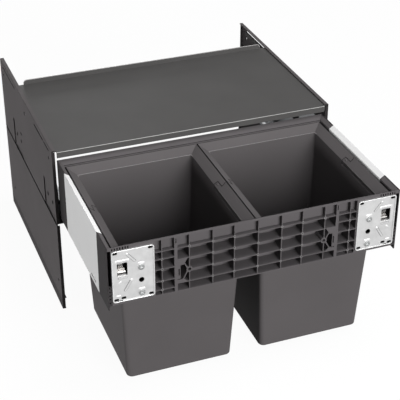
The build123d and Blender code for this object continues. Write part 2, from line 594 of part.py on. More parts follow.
def end_moulding(crate, wing, plates):
    """Whole moulding: ribbed part, wings and plugs, both halves.

    plates is true for the front, which has the openings behind the plates. The
    rear one is notched instead where the rails pass through.
    """
    wing_profile = [
        (HALF, SIDE_LOW),
        (HALF, TOP),
        (side_in, TOP - SLOPE * SIDE_RIM),
        (side_in, WEB + 6.0),
    ]
    plug_x = (side_in + SIDE_SHEET + PLUG_PLAY, HALF - SIDE_SHEET - PLUG_PLAY)
    corner = [
        (0, TOP),
        (END_RIM, TOP - SLOPE * END_RIM),
        (END_RIM, TOP - SLOPE * END_RIM - 2.4),
        (WALL, TOP - SLOPE * WALL - 2.4),
        (WALL, TOP - 4.5),
        (0, TOP - 4.5),
    ]
    with BuildPart() as body:
        add(crate)
        with BuildSketch(Plane.YZ.offset(side_in)):
            with BuildLine():
                Polyline(*corner, close=True)
            make_face()
        extrude(amount=SIDE_RIM)
        add(bent_sheet(wing_profile, WALL, 0.6, (0, wing), Side.LEFT))
        block(plug_x, (wing - 2.0, wing + PLUG), (WEB + 12.0, TOP - 16.0))
        rails = (BRACKET_EDGE - 1.0, HALF - WALL - 0.2)
        start = LAND if plates else -1.0
        block(rails, (start, MOULD_DEPTH + 1.0), (SIDE_LOW - 1.0, WEB + 1.5), Mode.SUBTRACT)
        block((HALF - 7.3, HALF - 1.6), (-1.0, 8.0), (TOP - 78.0, TOP - 7.0), Mode.SUBTRACT)
        if plates:
            half = LEVER_WIDTH / 2 + 2.0
            pocket = (LEVER_X - half, LEVER_X + half)
            cheek = (pocket[0] - WALL, pocket[1] + WALL)
            block(cheek, (0.0, 17.0), (LEVER_Z - 6.5, LEVER_Z + 25.0))
            block(pocket, (-1.0, 15.0), (LEVER_Z - 4.5, LEVER_Z + 23.0), Mode.SUBTRACT)
            rod_x(LEVER_D, LEVER_Z, PIN_R, (pocket[0] - 1.0, pocket[1] + 1.0))
            with BuildSketch(Plane.XZ.offset(0.5)):
                with Locations((PLATE_X, PLATE_Z)):
                    with GridLocations(SLOT_X, SLOT_Z, 2, 2):
                        SlotOverall(SLOT_LENGTH, SLOT_HEIGHT + 0.4)
                with Locations((PLATE_X - SCREW_INSET, PLATE_Z - SCREW_DROP)):
                    with GridLocations(1, SCREW_PITCH, 1, 2):
                        Circle(2.4)
                    Circle(4.9)
            extrude(amount=-(LAND + 0.6), mode=Mode.SUBTRACT)
        mirror(about=Plane.YZ)
    return body.part


LEVER_X = PLATE_X + 18.8
LEVER_Z = PLATE_Z + 4.2
LEVER_D = 5.0
crate = crate_half()
with BuildPart() as front_panel:
    with Locations((0, FACE_Y, 0)):
        add(end_moulding(crate, WING_FRONT, True))
front_panel.part.label = "front_panel"
export_step(front_panel.part, "parts/front_panel.step")
with BuildPart() as rear_panel:
    with Locations(Location((0, BACK_Y, 0), (0, 0, 180))):
        add(end_moulding(crate, WING_REAR, False))
rear_panel.part.label = "rear_panel"
export_step(rear_panel.part, "parts/rear_panel.step")

# Front plates: stamped, with a raised border, slots for the door front and a window
with BuildPart() as front_plate_right:
    with BuildSketch(Plane.XZ.offset(-FACE_Y)):
        with Locations((PLATE_X, PLATE_Z)):
            RectangleRounded(PLATE_WIDTH, PLATE_HEIGHT, 5.0)
    extrude(amount=PLATE_SHEET)
    with BuildSketch(Plane.XZ.offset(-FACE_Y + PLATE_SHEET)):
        with Locations((PLATE_X, PLATE_Z)):
            RectangleRounded(PLATE_WIDTH, PLATE_HEIGHT, 5.0)
            RectangleRounded(PLATE_WIDTH - 4.0, PLATE_HEIGHT - 4.0, 3.2, mode=Mode.SUBTRACT)
    extrude(amount=PLATE_RISE - PLATE_SHEET)
    with BuildSketch(Plane.XZ.offset(-FACE_Y + PLATE_SHEET)):
        with Locations((LEVER_X, LEVER_Z + 24.6)):
            SlotOverall(17.0, 3.0)
        with Locations((LEVER_X, LEVER_Z - 8.0)):
            SlotOverall(15.0, 2.4)
        with Locations((PLATE_X + 2.8, PLATE_Z + 33.0)):
            SlotOverall(22.0, 3.4, rotation=50)
        with Locations((PLATE_X + 9.8, PLATE_Z - 21.4)):
            SlotOverall(23.0, 3.4, rotation=-59)
    extrude(amount=0.7)
    with BuildSketch(Plane.XZ.offset(-FACE_Y - 0.5)):
        with Locations((LEVER_X, LEVER_Z + 8.6)):
            RectangleRounded(LEVER_WIDTH + 4.0, 26.0, 2.0)
        with Locations((PLATE_X, PLATE_Z)):
            with GridLocations(SLOT_X, SLOT_Z, 2, 2):
                SlotOverall(SLOT_LENGTH, SLOT_HEIGHT)
        with Locations((PLATE_X + 17.8, PLATE_Z - 44.4)):
            SlotOverall(SLOT_LENGTH, SLOT_HEIGHT)
        with Locations((PLATE_X - SCREW_INSET, PLATE_Z - SCREW_DROP)):
            with GridLocations(1, SCREW_PITCH, 1, 2):
                Circle(3.1)
            Circle(4.9)
        with Locations((PLATE_X + 24.0, PLATE_Z - PLATE_HEIGHT / 2 + 0.5)):
            Rectangle(10.0, 4.0)
    extrude(amount=PLATE_RISE + 1.0, mode=Mode.SUBTRACT)
front_plate_right.part.label = "front_plate_right"
export_step(front_plate_right.part, "parts/front_plate_right.step")
twin(front_plate_right.part, "front_plate_left")

# Release levers on a pin across the pocket
lever_x = (LEVER_X - LEVER_WIDTH / 2, LEVER_X + LEVER_WIDTH / 2)
pin_y = FACE_Y + LEVER_D
with BuildPart() as release_lever_right:
    with BuildSketch(Plane.YZ.offset(lever_x[0])):
        with BuildLine():
            Polyline(
                (pin_y - 2.2, LEVER_Z),
                (pin_y - 2.2, LEVER_Z + 6.0),
                (FACE_Y - 1.2, LEVER_Z + 15.5),
                (FACE_Y - 1.2, LEVER_Z + 18.5),
                (FACE_Y + 2.4, LEVER_Z + 20.6),
                (pin_y + 2.2, LEVER_Z + 8.0),
                (pin_y + 2.2, LEVER_Z),
                close=True,
            )
        make_face()
    extrude(amount=LEVER_WIDTH)
    rod_x(pin_y, LEVER_Z, 2.4, lever_x)
    rod_x(pin_y, LEVER_Z, PIN_R + PIN_PLAY, (lever_x[0] - 1.0, lever_x[1] + 1.0), Mode.SUBTRACT)
release_lever_right.part.label = "release_lever_right"
export_step(release_lever_right.part, "parts/release_lever_right.step")
twin(release_lever_right.part, "release_lever_left")

# Bins: tapered walls and a funnel rim, whose front half is lowered for the handle
RIM_X = (BIN_GAP / 2, side_in - RIM_PLAY)
RIM_Y = (FACE_Y + END_RIM + RIM_PLAY_END, BACK_Y - END_RIM - RIM_PLAY_END)
RIM_TOP = TOP - RIM_DROP
RIM_FALL = RIM_SLOPE * RIM_BAND
RIM_MID_X = (RIM_X[0] + RIM_X[1]) / 2
RIM_MID_Y = (RIM_Y[0] + RIM_Y[1]) / 2
RIM_WIDE = RIM_X[1] - RIM_X[0]
RIM_LONG = RIM_Y[1] - RIM_Y[0]
LOWERED = RIM_FALL - 2.0
PIVOT_Y = RIM_MID_Y
PIVOT_Z = RIM_TOP - 9.0
SPLIT = RIM_BAND * 0.53


def rim_rectangle(inset):
    """Width and length of the rim's outline, set in by this much all round."""
    return RIM_WIDE - 2 * inset, RIM_LONG - 2 * inset


def funnel(top_z):
    """The space inside the rim above its sloped face, whose outer edge is at top_z."""
    with BuildPart() as space:
        with BuildSketch(Plane.XY.offset(top_z - RIM_FALL)):
            with Locations((RIM_MID_X, RIM_MID_Y)):
                Rectangle(*rim_rectangle(RIM_BAND))
        with BuildSketch(Plane.XY.offset(top_z)):
            with Locations((RIM_MID_X, RIM_MID_Y)):
                Rectangle(*rim_rectangle(0))
        loft()
    return space.part


def rim_plate(top_z, sheet, skirt_low):
    """Sloped band of the rim with its outer edge at top_z and a skirt below it."""
    with BuildPart() as band:
        add(funnel(top_z - sheet))
        with BuildSketch(Plane.XY.offset(top_z - sheet)):
            with Locations((RIM_MID_X, RIM_MID_Y)):
                Rectangle(*rim_rectangle(0))
        extrude(amount=sheet)
        add(funnel(top_z), mode=Mode.SUBTRACT)
        with BuildSketch(Plane.XY.offset(top_z - RIM_FALL - sheet)):
            with Locations((RIM_MID_X, RIM_MID_Y)):
                Rectangle(*rim_rectangle(RIM_BAND))
        extrude(amount=sheet + 0.01, mode=Mode.SUBTRACT)
        with BuildSketch(Plane.XY.offset(skirt_low)):
            with Locations((RIM_MID_X, RIM_MID_Y)):
                Rectangle(*rim_rectangle(0))
                Rectangle(*rim_rectangle(BIN_WALL), mode=Mode.SUBTRACT)
        extrude(amount=top_z - sheet / 2 - skirt_low)
        add(funnel(top_z), mode=Mode.SUBTRACT)
    return band.part


def front_zone(play):
    """The part of the rim the handle takes up: its ends pass round the knuckles of the pivots."""
    inside = (RIM_X[0] + SPLIT + play, RIM_X[1] - SPLIT - play)
    with BuildPart() as zone:
        block((RIM_X[0] - 5.0, RIM_X[1] + 5.0), (RIM_Y[0] - 5.0, PIVOT_Y), (LEDGE - 20.0, RIM_TOP + 20.0))
        for x in ((RIM_X[0] - 6.0, inside[0]), (inside[1], RIM_X[1] + 6.0)):
            rod_x(PIVOT_Y, PIVOT_Z, KNUCKLE_R + play, x, Mode.SUBTRACT)
        rod_x(PIVOT_Y, PIVOT_Z, TAIL_R + HANDLE_PLAY - play, inside)
    return zone.part


def bin_walls(inset, low_z, high_z, corner):
    """Tapered box of the bin; inset is measured from its outer face."""
    slope = BIN_DRAFT / (RIM_TOP - RIM_FALL - BIN_FLOOR_Z)
    lean = (RIM_TOP - RIM_FALL - low_z) * slope
    lift = (RIM_TOP - RIM_FALL - high_z) * slope
    base = RIM_BAND - BIN_WALL + inset
    with BuildPart() as walls:
        with BuildSketch(Plane.XY.offset(low_z)):
            with Locations((RIM_MID_X, RIM_MID_Y)):
                RectangleRounded(*rim_rectangle(base + lean), corner + 5.0)
        with BuildSketch(Plane.XY.offset(high_z)):
            with Locations((RIM_MID_X, RIM_MID_Y)):
                RectangleRounded(*rim_rectangle(base + lift), corner)
        loft()
    return walls.part


with BuildPart() as rear_rim:
    add(rim_plate(RIM_TOP, RIM_SHEET, LEDGE))
    # Blocks that hold the pivot studs, and the cross walls behind the handle's tails
    for x in ((RIM_X[0], RIM_X[0] + SPLIT), (RIM_X[1] - SPLIT, RIM_X[1])):
        block(x, (PIVOT_Y - KNUCKLE_R, PIVOT_Y + TAIL_R + 4.0), (LEDGE + 1.0, RIM_TOP))
    add(funnel(RIM_TOP), mode=Mode.SUBTRACT)
    add(front_zone(0), mode=Mode.SUBTRACT)
with BuildPart() as front_rim:
    add(rim_plate(RIM_TOP - LOWERED, RIM_SHEET, LEDGE))
    block(
        (RIM_X[0] - 1.0, RIM_X[1] + 1.0),
        (PIVOT_Y + TAIL_R + 2.0, RIM_Y[1] + 1.0),
        (LEDGE - 20.0, RIM_TOP),
        Mode.SUBTRACT,
    )
    for x in ((RIM_X[0] + SPLIT, RIM_X[0] + RIM_BAND), (RIM_X[1] - RIM_BAND, RIM_X[1] - SPLIT)):
        rod_x(PIVOT_Y, PIVOT_Z, TAIL_R + HANDLE_PLAY, x, Mode.SUBTRACT)
with BuildPart() as bin_right:
    add(bin_walls(0, BIN_FLOOR_Z, RIM_TOP - RIM_FALL, 6.0))
    fillet(bin_right.faces().sort_by(Axis.Z)[0].edges(), 3.0)
    # The wall is lower in the front half, under the handle
    cut_y = (RIM_Y[0], PIVOT_Y + TAIL_R + HANDLE_PLAY)
    block((RIM_X[0], RIM_X[1]), cut_y, (RIM_TOP - RIM_FALL - LOWERED, RIM_TOP), Mode.SUBTRACT)
    add(front_rim.part)
    add(rear_rim.part)
    add(bin_walls(BIN_WALL, BIN_FLOOR_Z + 2.2, RIM_TOP - RIM_FALL + 0.5, 4.0), mode=Mode.SUBTRACT)
    for x in ((RIM_X[0] + 1.0, RIM_X[0] + SPLIT + 4.6), (RIM_X[1] - SPLIT - 4.6, RIM_X[1] - 1.0)):
        rod_x(PIVOT_Y, PIVOT_Z, PIVOT_R, x)
bin_right.part.label = "bin_right"
export_step(bin_right.part, "parts/bin_right.step")
twin(bin_right.part, "bin_left")

# Handles: U-shaped band over the lowered front half, on the studs at mid-depth
with BuildPart() as bin_handle_right:
    add(rim_plate(RIM_TOP, HANDLE_SHEET, RIM_TOP - LOWERED))
    for x in ((RIM_X[0] + SPLIT + HANDLE_PLAY, RIM_X[0] + RIM_BAND), (RIM_X[1] - RIM_BAND, RIM_X[1] - SPLIT - HANDLE_PLAY)):
        block(x, (PIVOT_Y - 22.0, PIVOT_Y), (PIVOT_Z - 6.0, RIM_TOP))
        rod_x(PIVOT_Y, PIVOT_Z, TAIL_R, x)
    add(funnel(RIM_TOP), mode=Mode.SUBTRACT)
    add(front_zone(HANDLE_PLAY), mode=Mode.INTERSECT)
    for x in ((RIM_X[0] + SPLIT, RIM_X[0] + SPLIT + 5.0), (RIM_X[1] - SPLIT - 5.0, RIM_X[1] - SPLIT)):
        rod_x(PIVOT_Y, PIVOT_Z, PIVOT_R + PIVOT_PLAY, x, Mode.SUBTRACT)
bin_handle_right.part.label = "bin_handle_right"
export_step(bin_handle_right.part, "parts/bin_handle_right.step")
twin(bin_handle_right.part, "bin_handle_left")
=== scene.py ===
import logging
import math
from dataclasses import dataclass
from enum import Enum
from functools import cache

import bmesh
import bpy
import numpy as np
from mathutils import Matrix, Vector


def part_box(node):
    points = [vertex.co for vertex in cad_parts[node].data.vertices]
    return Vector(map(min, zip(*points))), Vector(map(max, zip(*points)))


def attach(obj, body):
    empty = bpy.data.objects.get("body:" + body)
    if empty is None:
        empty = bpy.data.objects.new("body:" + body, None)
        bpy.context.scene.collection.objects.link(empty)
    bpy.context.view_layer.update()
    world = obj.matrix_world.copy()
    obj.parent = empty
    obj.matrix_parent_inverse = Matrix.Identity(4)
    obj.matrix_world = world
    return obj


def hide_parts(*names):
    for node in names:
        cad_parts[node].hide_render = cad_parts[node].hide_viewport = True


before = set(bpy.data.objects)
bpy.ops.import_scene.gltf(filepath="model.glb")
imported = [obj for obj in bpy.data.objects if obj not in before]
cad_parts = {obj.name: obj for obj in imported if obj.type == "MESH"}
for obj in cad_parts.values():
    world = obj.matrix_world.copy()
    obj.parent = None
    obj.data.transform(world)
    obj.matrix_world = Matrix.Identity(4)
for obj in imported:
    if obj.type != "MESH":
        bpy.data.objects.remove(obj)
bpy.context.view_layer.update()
LOG = logging.getLogger("recycling_unit")
MM = 0.001
UP = np.array([0.0, 0.0, 1.0])
FRONT = np.array([0.0, -1.0, 0.0])
WELD = 1e-7
SHARP_DEG = 38.0
RAMP_STOPS = (0.32, 0.68)
BROAD_DETAIL = 3.0
FINE_DETAIL = 2.0
BUMP_DISTANCE = 1.0 * MM

Array = np.ndarray
Material = bpy.types.Material
Node = bpy.types.Node
Piece = bpy.types.Object
Limits = tuple[float, float]
Sizes = tuple[float, ...]
Rgba = tuple[float, float, float, float]
Colour = tuple[float, float, float]
Point = tuple[float, float, float]


class Hand(Enum):
    """Left or right half of the unit, with the sign of its X coordinates."""

    LEFT = -1
    RIGHT = 1

    def node(self, stem: str) -> str:
        """Name of this half's CAD node or piece."""
        return f"{stem}_{self.name.lower()}"

    def body(self, stem: str) -> str:
        """Name of this half's body in the record."""
        return f"{self.node(stem)}_body"

    def box(self, stem: str) -> tuple[Vector, Vector]:
        """Low and high corner of this half's CAD node."""
        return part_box(self.node(stem))

    def middle(self, stem: str) -> Point:
        """Middle of this half's CAD node."""
        return tuple((a + b) / 2 for a, b in zip(*self.box(stem)))

    def reach(self, stem: str) -> float:
        """How far this half's CAD node reaches from the middle."""
        low, high = self.box(stem)
        return high.x if self is Hand.RIGHT else -low.x


class Grain(Enum):
    """How a finish's fine relief is stretched along the axes."""

    FINE = (1.0, 1.0, 1.0)
    ALONG_Y = (1.0, 0.04, 1.0)
    ALONG_Z = (1.0, 1.0, 0.04)


@dataclass(frozen=True)
class Zone:
    """A box in which a finish is darker or lighter: limits on some axes, X to either side of the middle."""

    gain: float
    x: Limits | None = None
    y: Limits | None = None
    z: Limits | None = None


class Graph:
    """Adds and joins the nodes of one tree."""

    def __init__(self, tree: bpy.types.NodeTree) -> None:
        """Takes a node tree and empties it."""
        self.tree = tree
        tree.nodes.clear()

    def add(self, kind: str, **values: object) -> Node:
        """Adds a node.

        Args:
            kind: Blender's name for the node type.
            values: its input values by name, with underscores for spaces.

        Returns:
            The new node.
        """
        node = self.tree.nodes.new(kind)
        for key, value in values.items():
            node.inputs[key.replace("_", " ")].default_value = value
        return node

    def link(self, source: Node, out: str | int, target: Node, into: str | int) -> None:
        """Joins one node's output to another node's input."""
        self.tree.links.new(source.outputs[out], target.inputs[into])

    def math(self, operation: str, source: Node, out: str | int, value: float = 0.0) -> Node:
        """A math node on one output and a constant.

        Args:
            operation: name of the operation.
            source: node that gives the first operand.
            out: its output.
            value: the second operand.

        Returns:
            The math node.
        """
        node = self.add("ShaderNodeMath")
        node.operation = operation
        node.inputs[1].default_value = value
        self.link(source, out, node, 0)
        return node


class Shader(Graph):
    """One material's nodes round a Principled shader."""

    def __init__(self, name: str, **values: object) -> None:
        """Makes a material with a Principled shader, an output and object coordinates.

        Args:
            name: name of the material.
            values: the Principled shader's input values, as for add.
        """
        self.material = bpy.data.materials.new(name)
        self.material.use_nodes = True
        super().__init__(self.material.node_tree)
        self.surface = self.add("ShaderNodeBsdfPrincipled", **values)
        self.output = self.add("ShaderNodeOutputMaterial")
        self.link(self.surface, "BSDF", self.output, "Surface")
        self.place = self.add("ShaderNodeTexCoord")

    def noise(self, scale: float, detail: float, grain: Grain) -> Node:
        """Noise in object coordinates.

        Args:
            scale: features per metre.
            detail: octaves.
            grain: stretch along the axes.

        Returns:
            The noise node.
        """
        mapping = self.add("ShaderNodeMapping", Scale=grain.value)
        texture = self.add("ShaderNodeTexNoise", Scale=scale, Detail=detail)
        self.link(self.place, "Object", mapping, "Vector")
        self.link(mapping, "Vector", texture, "Vector")
        return texture

    def ramp(self, source: Node, low: Rgba, high: Rgba) -> Node:
        """Colour ramp between two colours over the middle of a factor's range.

        Args:
            source: node that gives the factor.
            low: RGBA at the lower stop.
            high: RGBA at the upper stop.

        Returns:
            The ramp node.
        """
        node = self.add("ShaderNodeValToRGB")
        first, second = node.color_ramp.elements
        first.position, second.position = RAMP_STOPS
        first.color, second.color = low, high
        self.link(source, "Fac", node, "Fac")
        return node

    def zone_mask(self, zone: Zone) -> Node:
        """One inside a zone, else nothing: the product of one comparison for each limit.

        Args:
            zone: the zone.

        Returns:
            The node that gives the mask.
        """
        axes = self.add("ShaderNodeSeparateXYZ")
        self.link(self.place, "Object", axes, "Vector")
        mask = None
        for axis, limits in (("X", zone.x), ("Y", zone.y), ("Z", zone.z)):
            if limits is None:
                continue
            level = self.math("ABSOLUTE" if axis == "X" else "ADD", axes, axis)
            for operation, limit in zip(("GREATER_THAN", "LESS_THAN"), limits):
                test = self.math(operation, level, 0, limit)
                if mask is not None:
                    product = self.math("MULTIPLY", mask, 0)
                    self.link(test, 0, product, 1)
                    test = product
                mask = test
        return mask


def shade(colour: Colour, gain: float) -> Rgba:
    """A colour times a gain, as RGBA."""
    return (colour[0] * gain, colour[1] * gain, colour[2] * gain, 1.0)


@dataclass(frozen=True)
class Finish:
    """A surface: its colour, how much that varies, its gloss and its fine relief."""

    name: str
    colour: Colour
    roughness: float = 0.5
    metallic: float = 0.0
    specular: float = 0.15
    variation: float = 0.05
    mottle: float = 9.0
    relief: float = 0.05
    relief_scale: float = 1200.0
    grain: Grain = Grain.FINE
    gloss_spread: float = 0.05

    @cache
    def material(self) -> Material:
        """Builds the finish once: mottled colour, uneven gloss and a bump from fine noise.

        Returns:
            The material.
        """
        s = Shader(self.name, Metallic=self.metallic, Specular_IOR_Level=self.specular)
        broad = s.noise(self.mottle, BROAD_DETAIL, Grain.FINE)
        low, high = (shade(self.colour, 1.0 + sign * self.variation) for sign in (-1, 1))
        self.paint(s, s.ramp(broad, low, high))
        fine = s.noise(self.relief_scale, FINE_DETAIL, self.grain)
        low, high = (self.roughness + sign * self.gloss_spread for sign in (-1, 1))
        spread = s.add("ShaderNodeMapRange", To_Min=low, To_Max=high)
        s.link(fine, "Fac", spread, "Value")
        s.link(spread, "Result", s.surface, "Roughness")
        bump = s.add("ShaderNodeBump", Strength=self.relief, Distance=BUMP_DISTANCE)
        s.link(fine, "Fac", bump, "Height")
        s.link(bump, "Normal", s.surface, "Normal")
        return s.material

    def paint(self, shader: Shader, tint: Node) -> None:
        """Leads the mottled colour to the surface."""
        shader.link(tint, "Color", shader.surface, "Base Color")


@dataclass(frozen=True)
class ZonedFinish(Finish):
    """A finish that is darker or lighter in some zones."""

    zones: tuple[Zone, ...] = ()

    def paint(self, shader: Shader, tint: Node) -> None:
        """Leads the colour to the surface through one mix for each zone.

        Args:
            shader: the material's node tree.
            tint: node that gives the mottled colour.
        """
        for zone in self.zones:
            mix = shader.add("ShaderNodeMixRGB", Color2=shade(self.colour, zone.gain))
            shader.link(shader.zone_mask(zone), 0, mix, "Fac")
            shader.link(tint, "Color", mix, "Color1")
            tint = mix
        super().paint(shader, tint)


PANEL_COAT = ZonedFinish(
    "panel_coat", (0.099, 0.091, 0.093), roughness=0.52, specular=0.01, relief=0.10, relief_scale=1100.0,
    zones=(
        Zone(0.52, z=(-0.001, 0.0225)),  # leaning border at the foot, painted shade
        Zone(0.32, y=(-0.0652, -0.0647)),  # front flange
        Zone(0.10, x=(0.2797, 0.2808), y=(-0.0635, 0.376), z=(0.026, 0.3545)),  # cut edges of holes and slits, painted shade inside them
    ))
SHELF_COAT = ZonedFinish(
    "shelf_coat", (0.079, 0.077, 0.076), specular=0.03, relief=0.08, relief_scale=1100.0,
    zones=(Zone(0.05, x=(0.2797, 0.3)),))  # ends of the tabs in the panels' slots, painted shade
# painted highlights: light beads along the shelf's front edge and the top of its rear lip
ARRIS_HIGHLIGHT = Finish("arris_highlight", (0.40, 0.40, 0.39), roughness=0.4)
REAR_ARRIS_HIGHLIGHT = Finish("rear_arris_highlight", (0.30, 0.29, 0.29), roughness=0.4)
LIGHT_COAT = Finish("light_coat", (0.80, 0.80, 0.80), roughness=0.42, specular=0.10, variation=0.02)
MOULDED_GREY = ZonedFinish(
    "moulded_grey", (0.101, 0.094, 0.097), specular=0.01, relief_scale=1500.0,
    zones=(
        Zone(0.42, x=(0.2686, 0.3)),  # outer faces of the wings, painted shade
        Zone(0.45, x=(0.2636, 0.269), y=(-0.377, -0.3745), z=(0.2, 0.3215)),  # edge beside a plate, painted shade
        Zone(0.22, y=(-0.0716, -0.0704), z=(0.307, 0.326)),  # painted shadow on the step behind the bins' rims
        Zone(0.06, x=(0.1895, 0.2630), y=(-0.3765, -0.366), z=(0.2235, 0.3230)),  # painted shade behind a plate
        Zone(0.15, x=(0.233, 0.257), y=(-0.3758, -0.3595), z=(0.2735, 0.3020)),  # painted shade in the pocket of a lever
        Zone(0.05, x=(0.2320, 0.2625), y=(-0.3757, -0.3728), z=(0.3254, 0.3306)),  # painted shade in the comb over a plate
        Zone(0.05, x=(0.2658, 0.2690), y=(-0.3757, -0.3728), z=(0.2214, 0.2542)),  # painted shade in the comb beside a plate
    ))
# painted highlights: light rings on the front moulding's bosses
BOSS_HIGHLIGHT = Finish("boss_highlight", (0.22, 0.212, 0.214), roughness=0.45, specular=0.05)
BIN_GREY = Finish("bin_grey", (0.102, 0.095, 0.097), specular=0.01, variation=0.03, relief=0.03)
HANDLE_GREY = Finish(
    "handle_grey", (0.083, 0.077, 0.079), roughness=0.46, specular=0.06, variation=0.03, relief=0.03)
# painted highlights: light beads round the bins' mouths and along the handles
LIP_HIGHLIGHT = Finish("lip_grey", (0.27, 0.26, 0.26), roughness=0.4, variation=0.03)
HANDLE_LIP_HIGHLIGHT = Finish("handle_lip_grey", (0.12, 0.115, 0.115), roughness=0.4, variation=0.03)
# painted shade: near-black beads in the panels' seams and the handles' pivot gaps
SEAM_SHADE = Finish("seam_shade", (0.010, 0.010, 0.010), roughness=0.7, specular=0.0)
BLACK_PLASTIC = Finish("black_plastic", (0.012, 0.012, 0.012), specular=0.01)
CAGE_PLASTIC = Finish("cage_plastic", (0.05, 0.05, 0.05), roughness=0.45)
ZINC_SHEET = ZonedFinish(
    "zinc_sheet", (0.17, 0.175, 0.18), roughness=0.45, metallic=0.9, variation=0.14, mottle=120.0,
    zones=(Zone(0.08, x=(0.2776, 0.3)),))  # painted shade on the face behind the panel
RAIL_STEEL = ZonedFinish(
    "rail_steel", (0.50, 0.51, 0.52), roughness=0.30, metallic=1.0, grain=Grain.ALONG_Y,
    zones=(Zone(0.03, x=(0.2680, 0.2705)),))  # painted shade on the outer sides, in the gap beside the bracket
ROLLER_STEEL = Finish("roller_steel", (0.72, 0.72, 0.72), roughness=0.18, metallic=1.0)
PLATE_METAL = Finish(
    "plate_metal", (0.54, 0.54, 0.54), roughness=0.42, metallic=0.9, variation=0.07, mottle=70.0,
    relief_scale=700.0)
# painted highlights: lighter metal for the plates' rolled edges and window lips
PLATE_HIGHLIGHT = Finish("plate_highlight", (0.70, 0.70, 0.70), roughness=0.34, metallic=0.6, variation=0.02)
# painted highlights: lighter metal for the plates' domes
PLATE_BROW_HIGHLIGHT = Finish("plate_brow_highlight", (0.62, 0.62, 0.62), metallic=0.8, variation=0.02)
# painted shade: dark metal for the lines at the feet of the plates' ridges
PLATE_FOLD_SHADE = Finish("plate_fold_shade", (0.27, 0.27, 0.27), roughness=0.38, metallic=0.9)
LEVER_STEEL = ZonedFinish(
    "lever_steel", (0.42, 0.41, 0.40), roughness=0.22, metallic=1.0, mottle=220.0, grain=Grain.ALONG_Z,
    zones=(Zone(0.45, z=(0.2885, 0.3)), Zone(0.12, z=(0.2955, 0.31))))  # painted shade on the upper half and the tip
SCREW_STEEL = ZonedFinish(
    "screw_steel", (0.26, 0.265, 0.265), roughness=0.6, metallic=0.6, variation=0.08, mottle=300.0,
    zones=(  # painted highlights on the middles of the lower and the upper screw
        Zone(2.2, x=(0.2102, 0.2138), z=(0.2318, 0.2353)),
        Zone(2.2, x=(0.2102, 0.2138), z=(0.2836, 0.2871)),
    ))


@dataclass
class Patch:
    """A surface on a grid of points, rows by columns by three, in metres."""

    points: Array
    round_rows: bool = True
    round_columns: bool = False

    def quads(self) -> Array:
        """Corner indices of the grid's quads, four to a row.

        Returns:
            The indices.
        """
        rows, columns = self.points.shape[:2]
        down = np.arange(rows if self.round_columns else rows - 1)
        over = np.arange(columns if self.round_rows else columns - 1)
        i, j = np.meshgrid(down, over, indexing="ij")
        below, beside = (i + 1) % rows, (j + 1) % columns
        corners = [i * columns + j, i * columns + beside, below * columns + beside, below * columns + j]
        return np.stack(corners, -1).reshape(-1, 4)


def solid(name: str, patches: list[Patch]) -> Piece:
    """One object from several patches, with poles and seams welded.

    Args:
        name: name of the object.
        patches: its surfaces.

    Returns:
        The object, at the origin.
    """
    starts = np.cumsum([0] + [p.points.size // 3 for p in patches])
    verts = np.concatenate([p.points.reshape(-1, 3) for p in patches])
    faces = np.concatenate([p.quads() + start for p, start in zip(patches, starts)])
    mesh = bpy.data.meshes.new(name)
    mesh.from_pydata(verts.tolist(), [], faces.tolist())
    weld = bmesh.new()
    weld.from_mesh(mesh)
    bmesh.ops.remove_doubles(weld, verts=weld.verts, dist=WELD)
    bmesh.ops.recalc_face_normals(weld, faces=weld.faces)
    weld.to_mesh(mesh)
    weld.free()
    mesh.polygons.foreach_set("use_smooth", np.ones(len(mesh.polygons), bool))
    mesh.set_sharp_from_angle(angle=math.radians(SHARP_DEG))
    obj = bpy.data.objects.new(name, mesh)
    bpy.context.scene.collection.objects.link(obj)
    return obj


def around(count: int) -> Array:
    """Evenly spaced angles of one turn."""
    return np.linspace(0, 2 * np.pi, count, endpoint=False)


def quarter(count: int) -> Array:
    """Evenly spaced angles of a quarter turn, with both ends."""
    return np.linspace(0, np.pi / 2, count)


def bead(path: Array, radius: float, up: Array, closed: bool = False, sides: int = 12) -> Patch:
    """Round bead along a flat path, mitred at its corners.

    Each ring is path + radius * (cos a * s * n + sin a * up), where n is across
    the path and s lengthens the ring at a corner so that the bead keeps its width.

    Args:
        path: points, one row each.
        radius: radius of the bead.
        up: unit vector across the plane of the path.
        closed: joins the last point to the first.
        sides: points round the bead.

    Returns:
        The bead's surface, with its ends closed.
    """
    after = np.roll(path, -1, 0) - path
    after /= np.linalg.norm(after, axis=1, keepdims=True)
    before = np.roll(after, 1, 0)
    if not closed:
        before[0] = after[0]
        after[-1] = before[-1]
    along = after + before
    along /= np.linalg.norm(along, axis=1, keepdims=True)
    stretch = 1.0 / np.sum(along * after, 1, keepdims=True)
    across = np.cross(up, along) * stretch
    a = around(sides)[None, :, None]
    rings = path[:, None] + radius * (np.cos(a) * across[:, None] + np.sin(a) * up)
    if closed:
        return Patch(rings, round_columns=True)
    first = np.repeat(path[:1, None], sides, 1)
    last = np.repeat(path[-1:, None], sides, 1)
    return Patch(np.concatenate([first, rings, last]))


def turned(centre: Array, axis: Array, radii: Array, heights: Array, sides: int = 40) -> Patch:
    """Surface of revolution: each pair of radius and height makes one ring about the axis.

    Args:
        centre: point on the axis at height nought.
        axis: unit vector along it.
        radii: radius of each ring.
        heights: height of each ring along the axis.
        sides: points round a ring.

    Returns:
        The surface.
    """
    side = np.cross(axis, UP)
    other = np.cross(axis, side)
    a = around(sides)[None, :, None]
    ring = np.cos(a) * side + np.sin(a) * other
    return Patch(centre + radii[:, None, None] * ring + heights[:, None, None] * axis)


